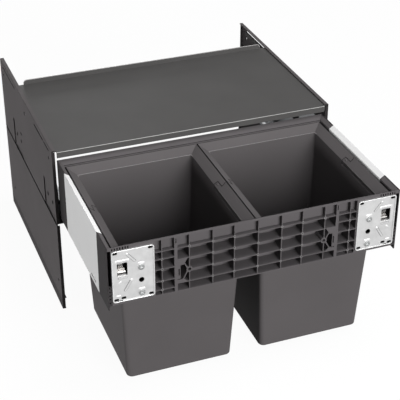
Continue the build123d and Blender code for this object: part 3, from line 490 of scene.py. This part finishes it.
def bar(path: Array, across: Array, thick: Array) -> Patch:
    """Flat bar along a path: each ring has four corners, path +- across / 2 +- thick / 2.

    Args:
        path: points, one row each.
        across: width as a vector, one row for each point or one for all.
        thick: thickness as a vector, in the same way.

    Returns:
        The bar's surface, with its ends closed.
    """
    a, t = np.array([[-0.5, 0.5, 0.5, -0.5], [-0.5, -0.5, 0.5, 0.5]])[:, None, :, None]
    rings = path[:, None] + a * across[:, None] + t * thick[:, None]
    first = np.repeat(rings[:1].mean(1, keepdims=True), 4, 1)
    last = np.repeat(rings[-1:].mean(1, keepdims=True), 4, 1)
    return Patch(np.concatenate([first, rings, last]))


def prism(section: Array, along: Array) -> Patch:
    """Straight prism: a convex section at its place and again at section + along.

    Args:
        section: corners, one row each.
        along: the prism's length as a vector.

    Returns:
        The prism's surface, with both ends closed.
    """
    rings = np.stack([section, section + along])
    caps = np.repeat(rings.mean(1, keepdims=True), len(section), 1)
    return Patch(np.concatenate([caps[:1], rings, caps[1:]]))


def pillow(outline: Array, base: float, height: float) -> Patch:
    """Low dome on a convex outline in the front plane, closed underneath.

    Each ring is the outline drawn in towards its middle by the factor cos a, at
    the height h * sin a before the base.

    Args:
        outline: points (x, z) round the foot of the dome.
        base: Y of the foot.
        height: how far the middle stands out to the front.

    Returns:
        The dome's surface.
    """
    a = quarter(7)[:, None]
    middle = outline.mean(0)
    x, z = (middle[i] + np.cos(a) * (outline[:, i] - middle[i]) for i in (0, 1))
    dome = np.stack([x, base - height * np.sin(a) + np.zeros_like(x), z], -1)
    under = np.broadcast_to([middle[0], base, middle[1]], (1, len(outline), 3))
    return Patch(np.concatenate([under, dome]))


def upright(outline: Array, y: float) -> Array:
    """Points (x, z) of an outline as points (x, y, z) at one Y."""
    return np.stack([outline[:, 0], np.full(len(outline), y), outline[:, 1]], -1)


def capsule_outline(centre: Array, length: float, width: float, angle: float) -> Array:
    """Outline of a slot shape: two half circles of the width, their centres length - width apart.

    Args:
        centre: its middle (u, v).
        length: overall length.
        width: overall width.
        angle: turn from the U axis, in radians.

    Returns:
        Points (u, v) round the shape.
    """
    a = np.linspace(-np.pi / 2, np.pi / 2, 13)
    r, shift = width / 2, (length - width) / 2
    u = np.concatenate([shift + r * np.cos(a), -shift - r * np.cos(a)])
    v = np.concatenate([r * np.sin(a), -r * np.sin(a)])
    turn = np.array([[np.cos(angle), np.sin(angle)], [-np.sin(angle), np.cos(angle)]])
    return centre + np.stack([u, v], -1) @ turn


def rounded_outline(centre: tuple[float, float], width: float, height: float, radius: float) -> Array:
    """Outline of a rectangle with quarter circles at its corners.

    Args:
        centre: its middle (u, v).
        width: size along U.
        height: size along V.
        radius: radius of the corners.

    Returns:
        Points (u, v) round the rectangle.
    """
    start = np.arange(4)[:, None] * np.pi / 2
    a = start + quarter(9)[None, :]
    sign_u, sign_v = np.array([[1, -1, -1, 1], [1, 1, -1, -1]])[:, :, None]
    u = centre[0] + sign_u * (width / 2 - radius) + radius * np.cos(a)
    v = centre[1] + sign_v * (height / 2 - radius) + radius * np.sin(a)
    return np.stack([u, v], -1).reshape(-1, 2)


def wear(obj: Piece, material: Material) -> None:
    """Gives an object one material in all its slots.

    Args:
        obj: the object.
        material: the material.
    """
    slots = obj.data.materials
    if not slots:
        slots.append(material)
    for i in range(len(slots)):
        slots[i] = material


def dress(finish: Finish, *nodes: str) -> None:
    """Puts a finish on CAD nodes.

    Args:
        finish: the finish.
        nodes: names of the nodes.
    """
    for name in nodes:
        wear(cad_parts[name], finish.material())
        LOG.info("%s: %s", name, finish.name)


def place(obj: Piece, finish: Finish, body: str, slot: str) -> None:
    """Dresses a new piece and ties it to a body.

    Args:
        obj: the piece.
        finish: its finish.
        body: the body it moves with.
        slot: not used.
    """
    wear(obj, finish.material())
    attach(obj, body)
    LOG.info("%s: %d faces, on %s", obj.name, len(obj.data.polygons), body)


@dataclass
class Cabinet:
    """Side panels, shelf and runner brackets, with painted highlight lines on the shelf's arrises, rivets and
    edge trims.
    """

    sheet: float = 1.5 * MM
    lip_half: float = 271.9 * MM
    shelf_drop: float = 3.0 * MM
    arris: float = 0.7 * MM
    arris_inset: float = 0.2 * MM
    rear_lip_back: float = 306.0 * MM
    rear_lip_trim: float = 10.0 * MM
    rear_lip_round: float = 7.0 * MM
    rear_arris: float = 0.8 * MM
    rear_arris_set: float = 0.6 * MM
    rear_arris_drop: float = 0.3 * MM
    rivet_y: Sizes = (24.0 * MM, 60.0 * MM, 287.0 * MM, 323.0 * MM)
    rivet_z: float = 36.0 * MM
    rivet_radius: float = 4.2 * MM
    rivet_height: float = 1.1 * MM
    shank: float = 2.55 * MM
    trim_radius: float = 1.75 * MM
    trim_back: float = 1.2 * MM
    trim_low: float = 16.8 * MM
    trim_top: float = 2.0 * MM
    seam: float = 198.0 * MM
    strip: float = 2.8 * MM
    strip_sheet: float = 0.4 * MM
    strip_inset: float = 0.5 * MM
    border_height: float = 24.0 * MM
    border_set: float = 4.0 * MM
    border_lap: float = 0.5 * MM
    kick_out: float = 0.15 * MM
    kick_foot: float = 0.4 * MM
    flange: float = 6.0 * MM
    return_set: float = 0.7 * MM
    return_trim: float = 1.5 * MM
    return_back: float = 0.03 * MM
    return_foot: float = 0.5 * MM

    def build(self) -> None:
        """Dresses the fixed pieces and adds the arrises, rivets and trims."""
        dress(SHELF_COAT, "shelf")
        for hand in Hand:
            dress(PANEL_COAT, hand.node("side_panel_upper"), hand.node("side_panel_lower"))
            dress(ZINC_SHEET, hand.node("runner_bracket"))
            dress(BLACK_PLASTIC, hand.node("bracket_cap"))
            place(self.rivets(hand), PANEL_COAT, "cabinet", "panel_grey")
            place(self.bracket_trim(hand), BLACK_PLASTIC, "cabinet", "black_plastic")
            place(self.border_return(hand), PANEL_COAT, "cabinet", "panel_grey")
            place(self.seam_strip(hand), SEAM_SHADE, "cabinet", "black_plastic")
            place(self.kick_strip(hand), PANEL_COAT, "cabinet", "panel_grey")
        place(self.shelf_arris(), ARRIS_HIGHLIGHT, "cabinet", "shelf_grey")
        place(self.rear_lip_arris(), REAR_ARRIS_HIGHLIGHT, "cabinet", "shelf_grey")

    def shelf_arris(self) -> Piece:
        """Painted highlight along the shelf's front edge, a light bead let into the arris.

        Returns:
            The bead.
        """
        half = self.lip_half - self.arris_inset
        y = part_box("shelf")[0].y + self.arris
        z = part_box("side_panel_upper_right")[1].z - self.shelf_drop - self.arris
        return solid("shelf_arris", [bead(np.array([[-half, y, z], [half, y, z]]), self.arris, UP)])

    def rear_lip_arris(self) -> Piece:
        """Light bead along the top of the shelf's rear lip, a painted highlight, round its two corners by
        quarter circles.

        Returns:
            The bead.
        """
        low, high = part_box("shelf")
        half = self.lip_half - self.rear_lip_trim
        r = self.rear_lip_round
        a = quarter(9)
        x = np.concatenate([-half + r - r * np.cos(a), half - r + r * np.sin(a)])
        z = high.z - self.rear_arris_drop - r + r * np.concatenate([np.sin(a), np.cos(a)])
        path = upright(np.stack([x, z], -1), low.y + self.rear_lip_back - self.rear_arris_set)
        return solid("rear_lip_arris", [bead(path, self.rear_arris, FRONT)])

    def rivets(self, hand: Hand) -> Piece:
        """Domed rivets through the pressed tabs and the bracket behind them.

        The head's radius and height follow a quarter ellipse, R * cos a and
        h * sin a, and the shank joins the two heads.

        Args:
            hand: which side.

        Returns:
            The rivets of that side.
        """
        low, _ = hand.box("runner_bracket")
        outer = hand.reach("runner_bracket") + self.sheet
        inner = outer - 2 * self.sheet
        a = quarter(7)
        radius, rise = self.rivet_radius * np.cos(a), self.rivet_height * np.sin(a)
        radii = np.concatenate([radius[::-1], [self.shank, self.shank], radius])
        heights = np.concatenate([outer + rise[::-1], [outer, inner], inner - rise])
        axis = np.array([float(hand.value), 0.0, 0.0])
        places = [np.array([0.0, low.y + y, low.z + self.rivet_z]) for y in self.rivet_y]
        return solid(hand.node("tab_rivets"), [turned(p, axis, radii, heights) for p in places])

    def bracket_trim(self, hand: Hand) -> Piece:
        """Round rubber trim on the rear edge of a runner bracket.

        Args:
            hand: which side.

        Returns:
            The trim.
        """
        low, high = hand.box("runner_bracket")
        x = hand.value * (hand.reach("runner_bracket") - self.sheet / 2)
        y = high.y + self.trim_back
        path = np.array([[x, y, low.z + self.trim_low], [x, y, high.z - self.trim_top]])
        return solid(hand.node("bracket_trim"), [bead(path, self.trim_radius, FRONT, sides=20)])

    def seam_strip(self, hand: Hand) -> Piece:
        """Thin near-black strip over the seam between the upper and the lower panel: painted shade in the
        seam.

        Args:
            hand: which side.

        Returns:
            The strip.
        """
        low, high = hand.box("side_panel_lower")
        x = hand.value * hand.reach("side_panel_lower")
        path = np.array([[x, low.y + self.strip_inset, self.seam], [x, high.y - self.strip_inset, self.seam]])
        across, thick = np.array([[0.0, 0.0, self.strip]]), np.array([[self.strip_sheet, 0.0, 0.0]])
        return solid(hand.node("seam_strip"), [bar(path, across, thick)])

    def kick_strip(self, hand: Hand) -> Piece:
        """Strip on the leaning border, a prism whose outer side stands upright under the panel's face.

        Args:
            hand: which side.

        Returns:
            The strip.
        """
        low, high = hand.box("side_panel_lower")
        out = hand.reach("side_panel_lower") + self.kick_out
        section = np.array([
            [out, low.y, self.border_height + self.border_lap],
            [out, low.y, self.kick_foot],
            [out - self.border_set, low.y, self.kick_foot],
        ]) * (hand.value, 1.0, 1.0)
        return solid(hand.node("kick_strip"), [prism(section, np.array([0.0, high.y - low.y, 0.0]))])

    def border_return(self, hand: Hand) -> Piece:
        """End of the front flange beside the leaning border, an upright flat bar down to the foot.

        Args:
            hand: which side.

        Returns:
            The bar.
        """
        low, _ = hand.box("side_panel_lower")
        x = hand.value * (hand.reach("side_panel_lower") - self.return_set - self.flange / 2)
        y = low.y + self.sheet / 2 + self.return_back
        path = np.array([[x, y, self.border_height + self.border_lap], [x, y, self.return_foot]])
        across = np.array([[self.flange - self.return_trim, 0.0, 0.0]])
        thick = np.array([[0.0, self.sheet - 2 * self.return_back, 0.0]])
        return solid(hand.node("border_return"), [bar(path, across, thick)])


@dataclass
class Runners:
    """Rails, cages and rollers on both sides."""

    rails: tuple[str, ...] = ("cabinet_rail", "middle_rail", "drawer_rail")
    cages: tuple[str, ...] = ("lower_cage", "upper_cage")
    rollers: tuple[str, ...] = ("lower_rollers", "upper_rollers")

    def build(self) -> None:
        """Dresses the runners."""
        for hand in Hand:
            dress(RAIL_STEEL, *map(hand.node, self.rails))
            dress(CAGE_PLASTIC, *map(hand.node, self.cages))
            dress(ROLLER_STEEL, *map(hand.node, self.rollers))


@dataclass(frozen=True)
class Pressing:
    """A slot-shaped mark on a plate: place from the plate's middle and size in millimetres, and lean."""

    out: float
    up: float
    length: float
    width: float
    lean_deg: float = 0.0

    def outline(self, hand: Hand) -> Array:
        """Points (x, z) round the mark on one plate.

        Args:
            hand: which plate; the left one's marks are mirrored.

        Returns:
            The points.
        """
        x, _, z = hand.middle("front_plate")
        centre = np.array([x + hand.value * self.out * MM, z + self.up * MM])
        lean = hand.value * math.radians(self.lean_deg)
        return capsule_outline(centre, self.length * MM, self.width * MM, lean)


# outlines of the painted shade lines at the feet of the plates' ridges
FOLD_SHADE_LINES = (
    Pressing(18.8, 28.8, 17.6, 3.6),
    Pressing(18.8, -3.8, 15.6, 3.0),
    Pressing(2.8, 33.0, 22.8, 4.2, 50.0),
    Pressing(9.8, -21.4, 23.8, 4.2, -59.0),
)
# outlines of the domes that carry painted highlights
BROWS = (
    Pressing(18.8, 29.4, 26.0, 6.0),
    Pressing(-14.2, 18.6, 12.6, 5.0),
    Pressing(-14.2, -33.2, 12.6, 5.0),
    Pressing(24.0, -12.2, 8.0, 3.2, -40.0),
    Pressing(3.4, -11.2, 5.4, 4.4, -59.0),
    Pressing(9.4, 40.8, 5.4, 4.4, 50.0),
    Pressing(27.0, -39.2, 9.0, 3.6),
)


@dataclass
class Drawer:
    """Drawer sides, end mouldings and plates, with light rings on the bosses and light edges, domes and lips
    on the plates as painted highlights, dark lines on the plates as painted shade, screws and bent levers.
    """

    sheet: float = 2.0 * MM
    border: float = 0.6 * MM
    border_inset: float = 0.9 * MM
    border_radius: float = 4.2 * MM
    border_sink: float = 0.4
    fold: float = 0.45 * MM
    fold_lift: float = 0.1 * MM
    brow_height: float = 0.75 * MM
    brow_sink: float = 0.05 * MM
    window_out: float = 18.8 * MM
    window_low: float = -0.2 * MM
    window_width: float = 18.0 * MM
    window_play: float = 0.4 * MM
    lip_depth: float = 7.0 * MM
    lip_sheet: float = 0.9 * MM
    lip_dip: float = 0.3 * MM
    lip_steps: Sizes = (0.05, 0.7, 1.0)
    screw_radius: float = 5.6 * MM
    screw_height: float = 2.0 * MM
    screw_inset: float = 14.2 * MM
    screw_drop: float = 14.9 * MM
    screw_pitch: float = 51.8 * MM
    screw_rings: int = 28
    screw_sides: int = 72
    screw_first: float = 0.05
    screw_crowding: float = 0.8
    recess_half_width: float = 0.13
    recess_half_length: float = 0.55
    recess_depth: float = 0.7
    recess_sharpness: float = 50.0
    washer_radius: float = 6.6 * MM
    washer_height: float = 0.8 * MM
    washer_ease: float = 0.4 * MM
    rib_x: Sizes = (0.0, 44.01 * MM, 83.5 * MM, 125.99 * MM, 175.01 * MM)
    row_drop: Sizes = (98.7 * MM, 74.5 * MM, 50.4 * MM)
    outer_row_drop: Sizes = (105.5 * MM, 87.7 * MM, 63.5 * MM, 43.0 * MM)
    ledge_drop: float = 27.6 * MM
    boss: float = 1.9 * MM
    boss_bead: float = 0.48 * MM
    boss_sides: int = 20
    pin_height: float = 2.4 * MM
    pin_back: float = 0.5 * MM
    eye_front: float = 1.9 * MM
    eye_bore: float = 1.4 * MM
    eye_radius: float = 2.3 * MM
    lever_sheet: float = 1.2 * MM
    lever_length: float = 26.0 * MM
    lever_points: int = 66
    lever_bends_mm: Sizes = (0, 5, 8, 15.5, 18, 19.5, 25.5)
    lever_angles_deg: Sizes = (0, 0, 36, 36, 0, 0, -165)
    lever_wide: float = 0.94
    lever_narrowing: float = 0.40
    lever_shift: float = 0.20
    narrow_at_mm: float = 11.0
    narrow_rate: float = 0.5

    def build(self) -> None:
        """Dresses the drawer and adds the bosses' rings and the plates' details, screws and levers."""
        dress(MOULDED_GREY, "front_panel", "rear_panel")
        place(self.boss_rings(), BOSS_HIGHLIGHT, "drawer", "moulding_grey")
        for hand in Hand:
            dress(LIGHT_COAT, hand.node("drawer_side"))
            dress(PLATE_METAL, hand.node("front_plate"))
            place(self.plate_border(hand), PLATE_HIGHLIGHT, "drawer", "plate_silver")
            place(self.plate_folds(hand), PLATE_FOLD_SHADE, "drawer", "plate_silver")
            place(self.plate_brows(hand), PLATE_BROW_HIGHLIGHT, "drawer", "plate_silver")
            place(self.window_lip(hand), PLATE_HIGHLIGHT, "drawer", "plate_silver")
            feet = self.screw_feet(hand)
            washers = solid(hand.node("plate_washers"), [self.washer(f) for f in feet])
            place(washers, PLATE_METAL, "drawer", "plate_silver")
            heads = [self.screw_head(f + self.washer_height * FRONT) for f in feet]
            place(solid(hand.node("plate_screws"), heads), SCREW_STEEL, "drawer", "lever_bright")
            lever = self.lever(hand)
            place(lever, LEVER_STEEL, hand.body("lever"), "lever_bright")
            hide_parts(hand.node("release_lever"))

    def boss_rings(self) -> Piece:
        """Thin raised rings on the bosses where the front moulding's ribs cross, each a circle of light bead:
        painted highlights.

        Returns:
            All the rings.
        """
        low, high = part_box("front_panel")
        crossings = [(x, drop) for x in self.rib_x[:3] for drop in self.row_drop]
        crossings += [(self.rib_x[4], drop) for drop in self.outer_row_drop]
        crossings += [(x, self.ledge_drop) for x in self.rib_x[1:4]]
        middles = [(side * x, high.z - drop) for x, drop in crossings for side in ((1, -1) if x else (1,))]
        a = around(self.boss_sides)
        circle = self.boss * np.stack([np.cos(a), np.zeros_like(a), np.sin(a)], -1)
        paths = [circle + (x, low.y, z) for x, z in middles]
        rings = [bead(path, self.boss_bead, FRONT, closed=True, sides=8) for path in paths]
        return solid("boss_rings", rings)

    def plate_border(self, hand: Hand) -> Piece:
        """Rolled edge round a front plate, lighter than the plate: a painted highlight.

        Args:
            hand: which plate.

        Returns:
            The edge.
        """
        low, high = hand.box("front_plate")
        x, _, z = hand.middle("front_plate")
        trim = 2 * self.border_inset
        flat = rounded_outline((x, z), high.x - low.x - trim, high.z - low.z - trim, self.border_radius)
        path = upright(flat, low.y + self.border_sink * self.border)
        return solid(hand.node("plate_border"), [bead(path, self.border, FRONT, closed=True)])

    def plate_folds(self, hand: Hand) -> Piece:
        """Dark lines at the feet of the plate's ridges, beads on slot-shaped outlines: painted shade.

        Args:
            hand: which plate.

        Returns:
            The folds.
        """
        y = hand.box("front_plate")[1].y - self.sheet - self.fold_lift
        paths = [upright(fold.outline(hand), y) for fold in FOLD_SHADE_LINES]
        return solid(hand.node("plate_folds"), [bead(path, self.fold, FRONT, closed=True) for path in paths])

    def plate_brows(self, hand: Hand) -> Piece:
        """Low domes above the window and the screws and at the ends of the ridges, lighter than the plate:
        painted highlights.

        Args:
            hand: which plate.

        Returns:
            The domes.
        """
        y = hand.box("front_plate")[1].y - self.sheet + self.brow_sink
        domes = [pillow(brow.outline(hand), y, self.brow_height) for brow in BROWS]
        return solid(hand.node("plate_brows"), domes)

    def window_lip(self, hand: Hand) -> Piece:
        """Lip folded back from the window's lower edge, lighter than the plate as a painted highlight, a flat
        bar that dips a little at its rear end.

        Args:
            hand: which plate.

        Returns:
            The lip.
        """
        _, high = hand.box("front_plate")
        x, _, z = hand.middle("front_plate")
        x = np.full(len(self.lip_steps), x + hand.value * self.window_out)
        y = high.y - self.sheet + self.lip_depth * np.array(self.lip_steps)
        z = z + self.window_low + self.lip_sheet / 2 - np.array([0.0, 0.0, self.lip_dip])
        path = np.stack([x, y, z], -1)
        across = np.array([[self.window_width - self.window_play, 0.0, 0.0]])
        thick = np.array([[0.0, 0.0, self.lip_sheet]])
        return solid(hand.node("window_lip"), [bar(path, across, thick)])

    def screw_feet(self, hand: Hand) -> list[Array]:
        """Where the plate's two screws stand on its face.

        Args:
            hand: which plate.

        Returns:
            The lower and the upper place.
        """
        _, high = hand.box("front_plate")
        x, _, z = hand.middle("front_plate")
        x, y, z = x - hand.value * self.screw_inset, high.y - self.sheet, z - self.screw_drop
        return [np.array([x, y, z + side * self.screw_pitch / 2]) for side in (-1, 1)]

    def lever(self, hand: Hand) -> Piece:
        """Bent lever: a strip that leans forward from its pin and curls back at the tip, and its eye.

        The strip's direction turns from upright to a lean, back to upright and
        through the curl, as straight pieces of the angle over the length, and
        its middle line is the running sum of (-sin, cos) of that angle. Above
        the eye it narrows smoothly, as a logistic step, to the same side on
        both plates.

        Args:
            hand: which plate.

        Returns:
            The lever.
        """
        low, high = hand.box("release_lever")
        width = high.x - low.x
        x, y, z = (low.x + high.x) / 2, high.y - self.pin_back, low.z + self.pin_height
        s = np.linspace(0, self.lever_length, self.lever_points)
        nought = np.zeros_like(s)
        angle = np.radians(np.interp(s / MM, self.lever_bends_mm, self.lever_angles_deg))
        step = np.diff(s, prepend=0.0)
        narrow = 1.0 / (1.0 + np.exp(-(s / MM - self.narrow_at_mm) * self.narrow_rate))
        forward, rise = np.cumsum(step * np.sin(angle)), np.cumsum(step * np.cos(angle))
        path = np.stack([x - self.lever_shift * width * narrow, y - forward, z + rise], -1)
        across = np.stack([width * (self.lever_wide - self.lever_narrowing * narrow), nought, nought], -1)
        thick = self.lever_sheet * np.stack([nought, np.cos(angle), np.sin(angle)], -1)
        half = self.lever_wide / 2 * width
        bore, rim = self.eye_bore, self.eye_radius
        radii = np.array([bore, rim, rim, bore, bore])
        heights = half * np.array([-1.0, -1.0, 1.0, 1.0, -1.0])
        eye = turned(np.array([x, y - self.eye_front, z]), np.array([1.0, 0.0, 0.0]), radii, heights)
        return solid(hand.node("bent_lever"), [bar(path, across, thick), eye])

    def washer(self, foot: Array) -> Patch:
        """Flat ring under a screw's head, with a quarter circle at its outer edge.

        Args:
            foot: centre of the ring's underside.

        Returns:
            The ring's surface.
        """
        a = quarter(5)
        ease = self.washer_ease
        rim = self.washer_radius - ease + ease * np.cos(a)
        rise = self.washer_height - ease + ease * np.sin(a)
        radii = np.concatenate([[0.0, self.washer_radius], rim, [0.0]])
        heights = np.concatenate([[0.0, 0.0], rise, [self.washer_height]])
        return turned(foot, FRONT, radii, heights)

    def recess_step(self, distance: Array, limit: float) -> Array:
        """Logistic step from one, nearer than the limit, to nothing."""
        return 1.0 / (1.0 + np.exp(self.recess_sharpness * (np.abs(distance) - limit)))

    def screw_head(self, foot: Array) -> Patch:
        """Pan head with a cross recess, facing the front.

        Over the polar grid (r, t) the height is a flattened dome,
        h * sqrt(1 - r ** 4), less a recess that falls off smoothly, as logistic
        steps, outside a cross of two bars. A last ring at the foot closes the
        flat underside.

        Args:
            foot: centre of the head's underside.

        Returns:
            The head's surface.
        """
        spread = np.linspace(self.screw_first, 1.0, self.screw_rings) ** self.screw_crowding
        r = np.concatenate([[0.0], spread])[:, None]
        t = around(self.screw_sides)[None, :]
        u, v = r * np.cos(t), r * np.sin(t)
        wide, long = self.recess_half_width, self.recess_half_length
        bars = [self.recess_step(a, wide) * self.recess_step(b, long) for a, b in ((u, v), (v, u))]
        flat = np.sqrt(np.clip(1 - r**4, 0, 1))
        dome = self.screw_height * (flat - self.recess_depth * np.maximum(*bars))
        rings = foot + np.stack([u * self.screw_radius, -dome, v * self.screw_radius], -1)
        return Patch(np.concatenate([rings, np.broadcast_to(foot, (1, t.size, 3))]))


@dataclass
class Bins:
    """The bins and their handles, with light lips round the mouths as painted highlights and near-black seams
    at the pivots as painted shade.
    """

    band: float = 16.6 * MM
    slope: float = 0.69
    lip: float = 0.4 * MM
    clear: float = 14.0 * MM
    corner: float = 7.0 * MM
    split: float = 8.8 * MM
    knuckle: float = 12.4 * MM
    tail: float = 7.9 * MM
    pivot_drop: float = 9.0 * MM
    seam: float = 0.62 * MM
    seam_sink: float = 0.25 * MM
    seam_start: float = 0.4 * MM
    seam_step: float = 0.2 * MM
    seam_points: int = 8

    def build(self) -> None:
        """Dresses bins and handles and adds the lips and seams."""
        for hand in Hand:
            dress(BIN_GREY, hand.node("bin"))
            dress(HANDLE_GREY, hand.node("bin_handle"))
            low, high = hand.box("bin")
            back, front = high.y - self.band, low.y + self.band
            rear = self.mouth_lip(hand.node("bin_lip"), hand, back, back - self.corner)
            place(rear, LIP_HIGHLIGHT, hand.body("bin"), "bin_grey")
            ahead = self.mouth_lip(hand.node("handle_lip"), hand, front, (low.y + high.y) / 2 - self.clear)
            place(ahead, HANDLE_LIP_HIGHLIGHT, hand.body("handle"), "handle_grey")
            place(self.pivot_seams(hand), SEAM_SHADE, hand.body("bin"), "bin_grey")

    def mouth_lip(self, name: str, hand: Hand, end: float, start: float) -> Piece:
        """Light bead along three sides of the mouth, at the foot of the sloped rim: a painted highlight.

        Args:
            name: name of the piece.
            hand: which bin.
            end: Y of the side across the mouth.
            start: Y where the two other sides begin.

        Returns:
            The lip.
        """
        low, high = hand.box("bin")
        left, right = low.x + self.band, high.x - self.band
        z = high.z - self.slope * self.band
        path = np.array([[left, start, z], [left, end, z], [right, end, z], [right, start, z]])
        return solid(name, [bead(path, self.lip, UP)])

    def pivot_seams(self, hand: Hand) -> Piece:
        """Near-black beads in the gaps between the handle's ends and the rim, let into the sloped faces:
        painted shade.

        With d the way in from the rim's edge, the face's height over the pivot
        is h = drop - slope * d. The seam is ahead of the pivot by
        sqrt(knuckle ** 2 - h ** 2) on the outer part of the rim and behind it by
        sqrt(tail ** 2 - h ** 2) on the inner part.

        Args:
            hand: which bin.

        Returns:
            The seams at both ends of the handle.
        """
        low, high = hand.box("bin")
        outer_part = np.linspace(self.seam_start, self.split, self.seam_points)
        inner_part = np.linspace(self.split + self.seam_step, self.band - self.seam_step, self.seam_points)
        d = np.concatenate([outer_part, inner_part])
        h = self.pivot_drop - self.slope * d
        outer = np.arange(d.size) < self.seam_points
        radius = np.where(outer, self.knuckle, self.tail)
        y = (low.y + high.y) / 2 + np.where(outer, -1.0, 1.0) * np.sqrt(radius**2 - h**2)
        z = high.z - self.slope * d - self.seam_sink
        normal = np.array([self.slope, 0.0, 1.0]) / math.hypot(self.slope, 1.0)
        sides = [(low.x + d, normal), (high.x - d, normal * (-1.0, 1.0, 1.0))]
        patches = [bead(np.stack([x, y, z], -1), self.seam, up) for x, up in sides]
        return solid(hand.node("pivot_seams"), patches)


@dataclass(frozen=True)
class Lamp:
    """A square soft lamp: its place, edge length in metres and power in watts."""

    name: str
    place: Point
    size: float
    power: float

    def light(self, aim: Point) -> None:
        """Puts the lamp in the scene, turned to a point.

        Args:
            aim: the point.
        """
        data = bpy.data.lights.new(self.name, "AREA")
        data.size = self.size
        data.energy = self.power
        lamp = bpy.data.objects.new(self.name, data)
        bpy.context.scene.collection.objects.link(lamp)
        lamp.location = self.place
        x, y, z = (a - p for a, p in zip(aim, self.place))
        tilt = math.pi / 2 + math.atan2(z, math.hypot(x, y))
        lamp.rotation_euler = (tilt, 0.0, math.atan2(y, x) - math.pi / 2)


@dataclass
class Studio:
    """Floor, light and camera."""

    eye: Point = (-0.67797, -1.89692, 1.36990)
    pitch_deg: float = 58.936
    yaw_deg: float = -20.574
    lens: float = 103.88
    sensor: float = 36.0
    ambient: float = 0.05
    aim: Point = (0.0, -0.05, 0.2)
    lamps: tuple[Lamp, ...] = (
        Lamp("key", (0.5, -3.2, 1.25), 1.8, 124.0),
        Lamp("left", (-3.2, -0.2, 0.45), 0.9, 47.0),
        Lamp("top", (0.55, -0.5, 3.0), 2.0, 58.0),
        Lamp("right", (3.2, 0.3, 0.42), 1.2, 44.0),
        Lamp("rear", (0.4, 3.6, 0.38), 1.2, 70.0),
    )
    white: Colour = (1.0, 1.0, 1.0)
    floor_half: float = 8.0
    floor_bounce: float = 0.06
    floor_shadow: float = 0.9
    floor_glow: float = 0.95

    def build(self) -> None:
        """Makes the floor, the light and the camera."""
        self.floor()
        self.world()
        for lamp in self.lamps:
            lamp.light(self.aim)
        self.camera()

    def floor(self) -> None:
        """Plain floor: white with a soft shadow to the camera, dim as a source of bounced light."""
        side = np.array([-self.floor_half, self.floor_half])
        x, y = np.meshgrid(side, side)
        plane = solid("floor", [Patch(np.stack([x, y, np.zeros_like(x)], -1), round_rows=False)])
        bounce = shade(self.white, self.floor_bounce)
        s = Shader("floor_white", Base_Color=bounce, Specular_IOR_Level=0.0)
        lit = s.add("ShaderNodeBsdfDiffuse", Color=shade(self.white, self.floor_shadow))
        glow = s.add("ShaderNodeEmission", Color=shade(self.white, 1.0), Strength=1.0)
        seen = s.add("ShaderNodeMixShader", Fac=self.floor_glow)
        s.link(lit, "BSDF", seen, 1)
        s.link(glow, "Emission", seen, 2)
        choice = s.add("ShaderNodeMixShader")
        s.link(self.seen_rays(s), 0, choice, "Fac")
        s.link(s.surface, "BSDF", choice, 1)
        s.link(seen, "Shader", choice, 2)
        s.link(choice, "Shader", s.output, "Surface")
        wear(plane, s.material)

    @staticmethod
    def seen_rays(graph: Graph) -> Node:
        """One for camera, glossy and transmission rays, else nothing.

        Args:
            graph: node tree to add to.

        Returns:
            The node that gives the value.
        """
        path = graph.add("ShaderNodeLightPath")
        first = graph.math("MAXIMUM", path, "Is Camera Ray")
        graph.link(path, "Is Glossy Ray", first, 1)
        second = graph.math("MAXIMUM", first, 0)
        graph.link(path, "Is Transmission Ray", second, 1)
        return second

    def world(self) -> None:
        """Even light from all round; the camera and reflections see white."""
        world = bpy.data.worlds.new("studio")
        bpy.context.scene.world = world
        world.use_nodes = True
        g = Graph(world.node_tree)
        output = g.add("ShaderNodeOutputWorld")
        mix = g.add("ShaderNodeMixShader")
        g.link(self.seen_rays(g), 0, mix, "Fac")
        for socket, strength in ((1, self.ambient), (2, 1.0)):
            light = g.add("ShaderNodeBackground", Color=shade(self.white, 1.0), Strength=strength)
            g.link(light, 0, mix, socket)
        g.link(mix, 0, output, "Surface")

    def camera(self) -> None:
        """Camera at the photograph's viewing angle."""
        data = bpy.data.cameras.new("camera")
        data.lens = self.lens
        data.sensor_width = self.sensor
        eye = bpy.data.objects.new("camera", data)
        bpy.context.scene.collection.objects.link(eye)
        eye.location = self.eye
        eye.rotation_euler = (math.radians(self.pitch_deg), 0.0, math.radians(self.yaw_deg))
        bpy.context.scene.camera = eye


def main() -> None:
    """Builds the sub-assemblies, then the studio."""
    logging.basicConfig(level=logging.INFO)
    bpy.context.scene.view_settings.view_transform = "Standard"
    for part in (Cabinet(), Runners(), Drawer(), Bins(), Studio()):
        part.build()
        LOG.info("built %s", type(part).__name__)


if __name__ == "__main__":
    main()
